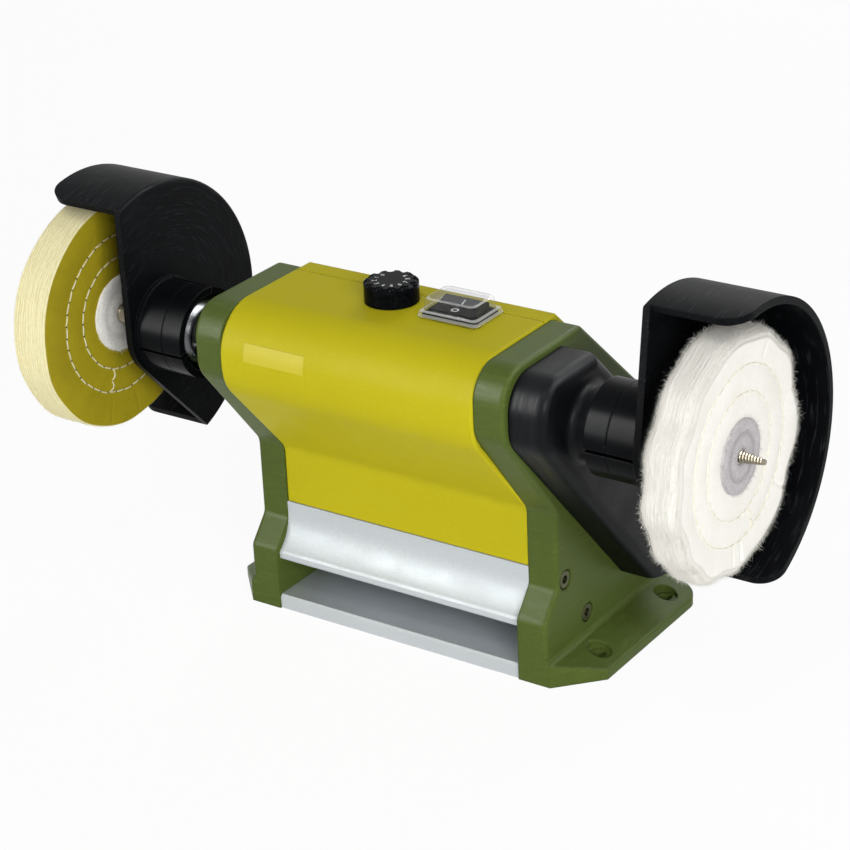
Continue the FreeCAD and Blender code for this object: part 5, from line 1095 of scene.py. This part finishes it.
class LATHE_OT_right_buff(Operator):
    """Make the white cotton buff on the right end"""

    bl_idname = "lathe.right_buff"
    bl_label = "Right buff"

    def execute(self, context):
        buffs = context.scene.lathe_buffs
        shape = BuffShape(
            "buff_right", "hub_discs_right", seed=23, layers=buffs.right_layers, edge_round=4.0,
            lumps=2.0, fray=0.5, groove=0.2, wander=0.8, ragged=0.0, quilt=0.4,
            creases=((-88, 0.7), (-97, 0.5), (-38, 0.6), (15, 0.4), (62, 0.35)),
        )
        slot = "white_cloth"
        face = cotton_face("unbleached_calico", context.scene.lathe_colours.right_cloth, "e6e2d6")
        rim = cotton_rim("white_cut_edges", "e9e7e1", "d3cfc6")
        buff_cloth(shape, face, rim, "buff_right_cloth")
        thread = sewing_thread("cream_thread", "f1ecdd")
        finer, link = buffs.thread * 0.8, math.radians(-75)
        buff_stitching(shape, buffs.stitch, finer, thread, "buff_right_stitching", link)
        fluff = sewing_thread("white_fluff", "f6f5f0")
        rim_fibres(shape, buffs.fibres, 1.7, 0.03, fluff, "buff_right_fibres", slot)
        felt = felt_disc("lilac_felt", "c9c5c6", "9f9a9d")
        fringe = felt_disc("lilac_felt_edge", "d8d4d6", "b8b3b6")
        hub_discs(shape, felt, fringe, "hub_right", "hub_disc_right")
        return {"FINISHED"}


class LATHE_OT_stage(Operator):
    """Set up the floor, the room, the soft lights and the camera"""

    bl_idname = "lathe.stage"
    bl_label = "Stage"

    def execute(self, context):
        stage = context.scene.lathe_stage
        make_floor()
        make_room(stage.room)
        make_camera(stage.lens)
        softbox("overhead", (0.25, -0.75, 1.35), 0.4, 0.2, stage.key)
        softbox("front", (-0.35, -1.7, 0.6), 0.4, 0.75, stage.front)
        softbox("right", (1.3, -1.1, 0.72), 0.7, 0.7, stage.side)
        softbox("back", (-0.3, 1.5, 1.1), 0.8, 0.6, stage.back)
        softbox("front_panel", (-0.85, -1.33, 0.75), 0.45, 1.4, stage.front_panel, glint=True)
        softbox("back_panel", (0.9, 0.55, 1.2), 1.5, 0.9, stage.back_panel, glint=True)
        context.scene.view_settings.view_transform = "Standard"
        return {"FINISHED"}


# ---- stage -----------------------------------------------------------------------------------


def softbox(name, place, width, height, power, glint=False):
    """A rectangular area light that faces the case. A glint only shows as a reflection."""
    case_middle = Vector((0, -0.03, 0.08))
    light = bpy.data.lights.new(name, "AREA")
    light.shape = "RECTANGLE"
    light.size = width
    light.size_y = height
    light.energy = power
    holder = bpy.data.objects.new(name, light)
    holder.location = place
    holder.visible_diffuse = not glint
    holder.rotation_euler = (case_middle - Vector(place)).to_track_quat("-Z", "Y").to_euler()
    bpy.context.scene.collection.objects.link(holder)


def seen_directly(tree):
    """1 for rays from the camera, a mirror or clear plastic, and 0 for light that falls on things."""
    ray = add(tree, "ShaderNodeLightPath")
    looked = {0: ray.outputs["Is Camera Ray"], 1: ray.outputs["Is Glossy Ray"]}
    seen = add(tree, "ShaderNodeMath", looked, operation="MAXIMUM")
    inputs = {0: seen.outputs[0], 1: ray.outputs["Is Transmission Ray"]}
    return add(tree, "ShaderNodeMath", inputs, operation="MAXIMUM").outputs[0]


def make_floor():
    """A wide pale floor that reads as white and still takes the shadow."""
    reach = 6.0
    corners = [(x * reach, y * reach, 0) for x, y in ((-1, -1), (1, -1), (1, 1), (-1, 1))]
    mesh = bpy.data.meshes.new("floor")
    mesh.from_pydata(corners, [], [(0, 1, 2, 3)])
    floor = bpy.data.objects.new("floor", mesh)
    bpy.context.scene.collection.objects.link(floor)
    material, tree, shader = finish("white_floor", "f2f2f2", 0.9)
    glow = add(tree, "ShaderNodeEmission", {"Color": rgba("ffffff"), "Strength": 1.0})
    inputs = {0: seen_directly(tree), 1: 0.93}
    share = add(tree, "ShaderNodeMath", inputs, operation="MULTIPLY").outputs[0]
    mixed = add(tree, "ShaderNodeMixShader", {0: share, 1: shader.outputs[0], 2: glow.outputs[0]})
    tree.links.new(mixed.outputs[0], tree.nodes["Material Output"].inputs["Surface"])
    mesh.materials.append(material)


def make_room(strength):
    """A white surround to look at and to reflect, with its own level of light."""
    world = bpy.data.worlds.new("room")
    world.use_nodes = True
    tree = world.node_tree
    tree.nodes.clear()
    limits = {"Value": seen_directly(tree), "To Min": strength, "To Max": 1.0}
    level = add(tree, "ShaderNodeMapRange", limits)
    inputs = {"Color": rgba("ffffff"), "Strength": level.outputs["Result"]}
    lit = add(tree, "ShaderNodeBackground", inputs)
    out = add(tree, "ShaderNodeOutputWorld", {"Surface": lit.outputs[0]})
    tree.nodes.active = out
    bpy.context.scene.world = world


def make_camera(lens):
    """A long lens to the right of the front, looking down, with the small roll of the real set-up."""
    camera = bpy.data.cameras.new("camera")
    camera.sensor_width = 36.0
    camera.lens = lens
    camera.clip_start = 0.05
    camera.clip_end = 50.0
    place = Vector((546.4, -805.2, 524.8)) * MM
    yaw, pitch, roll = (math.radians(angle) for angle in (35.026, 24.692, -2.609))
    level = Vector((-math.sin(yaw), math.cos(yaw), 0))
    forward = level * math.cos(pitch) - Vector((0, 0, math.sin(pitch)))
    right = Vector((math.cos(yaw), math.sin(yaw), 0))
    up = right.cross(forward)
    across = right * math.cos(roll) + up * math.sin(roll)
    above = up * math.cos(roll) - right * math.sin(roll)
    holder = bpy.data.objects.new("camera", camera)
    turn = Matrix((across, above, -forward)).transposed().to_4x4()
    holder.matrix_world = Matrix.Translation(place) @ turn
    bpy.context.scene.collection.objects.link(holder)
    bpy.context.scene.camera = holder


# ---- panel and registration ------------------------------------------------------------------

STEPS = (
    LATHE_OT_paintwork,
    LATHE_OT_extrusions,
    LATHE_OT_black_parts,
    LATHE_OT_controls,
    LATHE_OT_metalwork,
    LATHE_OT_spindle,
    LATHE_OT_left_buff,
    LATHE_OT_right_buff,
    LATHE_OT_stage,
)


class LATHE_PT_finishes(Panel):
    """Lists the steps that dress the lathe"""

    bl_idname = "LATHE_PT_finishes"
    bl_label = "Polishing lathe"
    bl_space_type = "VIEW_3D"
    bl_region_type = "UI"
    bl_category = "Lathe"

    def draw(self, context):
        for group in (context.scene.lathe_colours, context.scene.lathe_buffs, context.scene.lathe_stage):
            for name in group.__annotations__:
                self.layout.prop(group, name)
        for step in STEPS:
            self.layout.operator(step.bl_idname)


CLASSES = (LatheColours, LatheBuffs, LatheStage, *STEPS, LATHE_PT_finishes)


def register():
    for item in CLASSES:
        bpy.utils.register_class(item)
    bpy.types.Scene.lathe_colours = PointerProperty(type=LatheColours)
    bpy.types.Scene.lathe_buffs = PointerProperty(type=LatheBuffs)
    bpy.types.Scene.lathe_stage = PointerProperty(type=LatheStage)


def unregister():
    del bpy.types.Scene.lathe_stage
    del bpy.types.Scene.lathe_buffs
    del bpy.types.Scene.lathe_colours
    for item in reversed(CLASSES):
        bpy.utils.unregister_class(item)


def main():
    """Dress the lathe step by step."""
    register()
    bpy.ops.lathe.paintwork()
    bpy.ops.lathe.extrusions()
    bpy.ops.lathe.black_parts()
    bpy.ops.lathe.controls()
    bpy.ops.lathe.metalwork()
    bpy.ops.lathe.spindle()
    bpy.ops.lathe.left_buff()
    bpy.ops.lathe.right_buff()
    bpy.ops.lathe.stage()


if __name__ == "__main__":
    main()
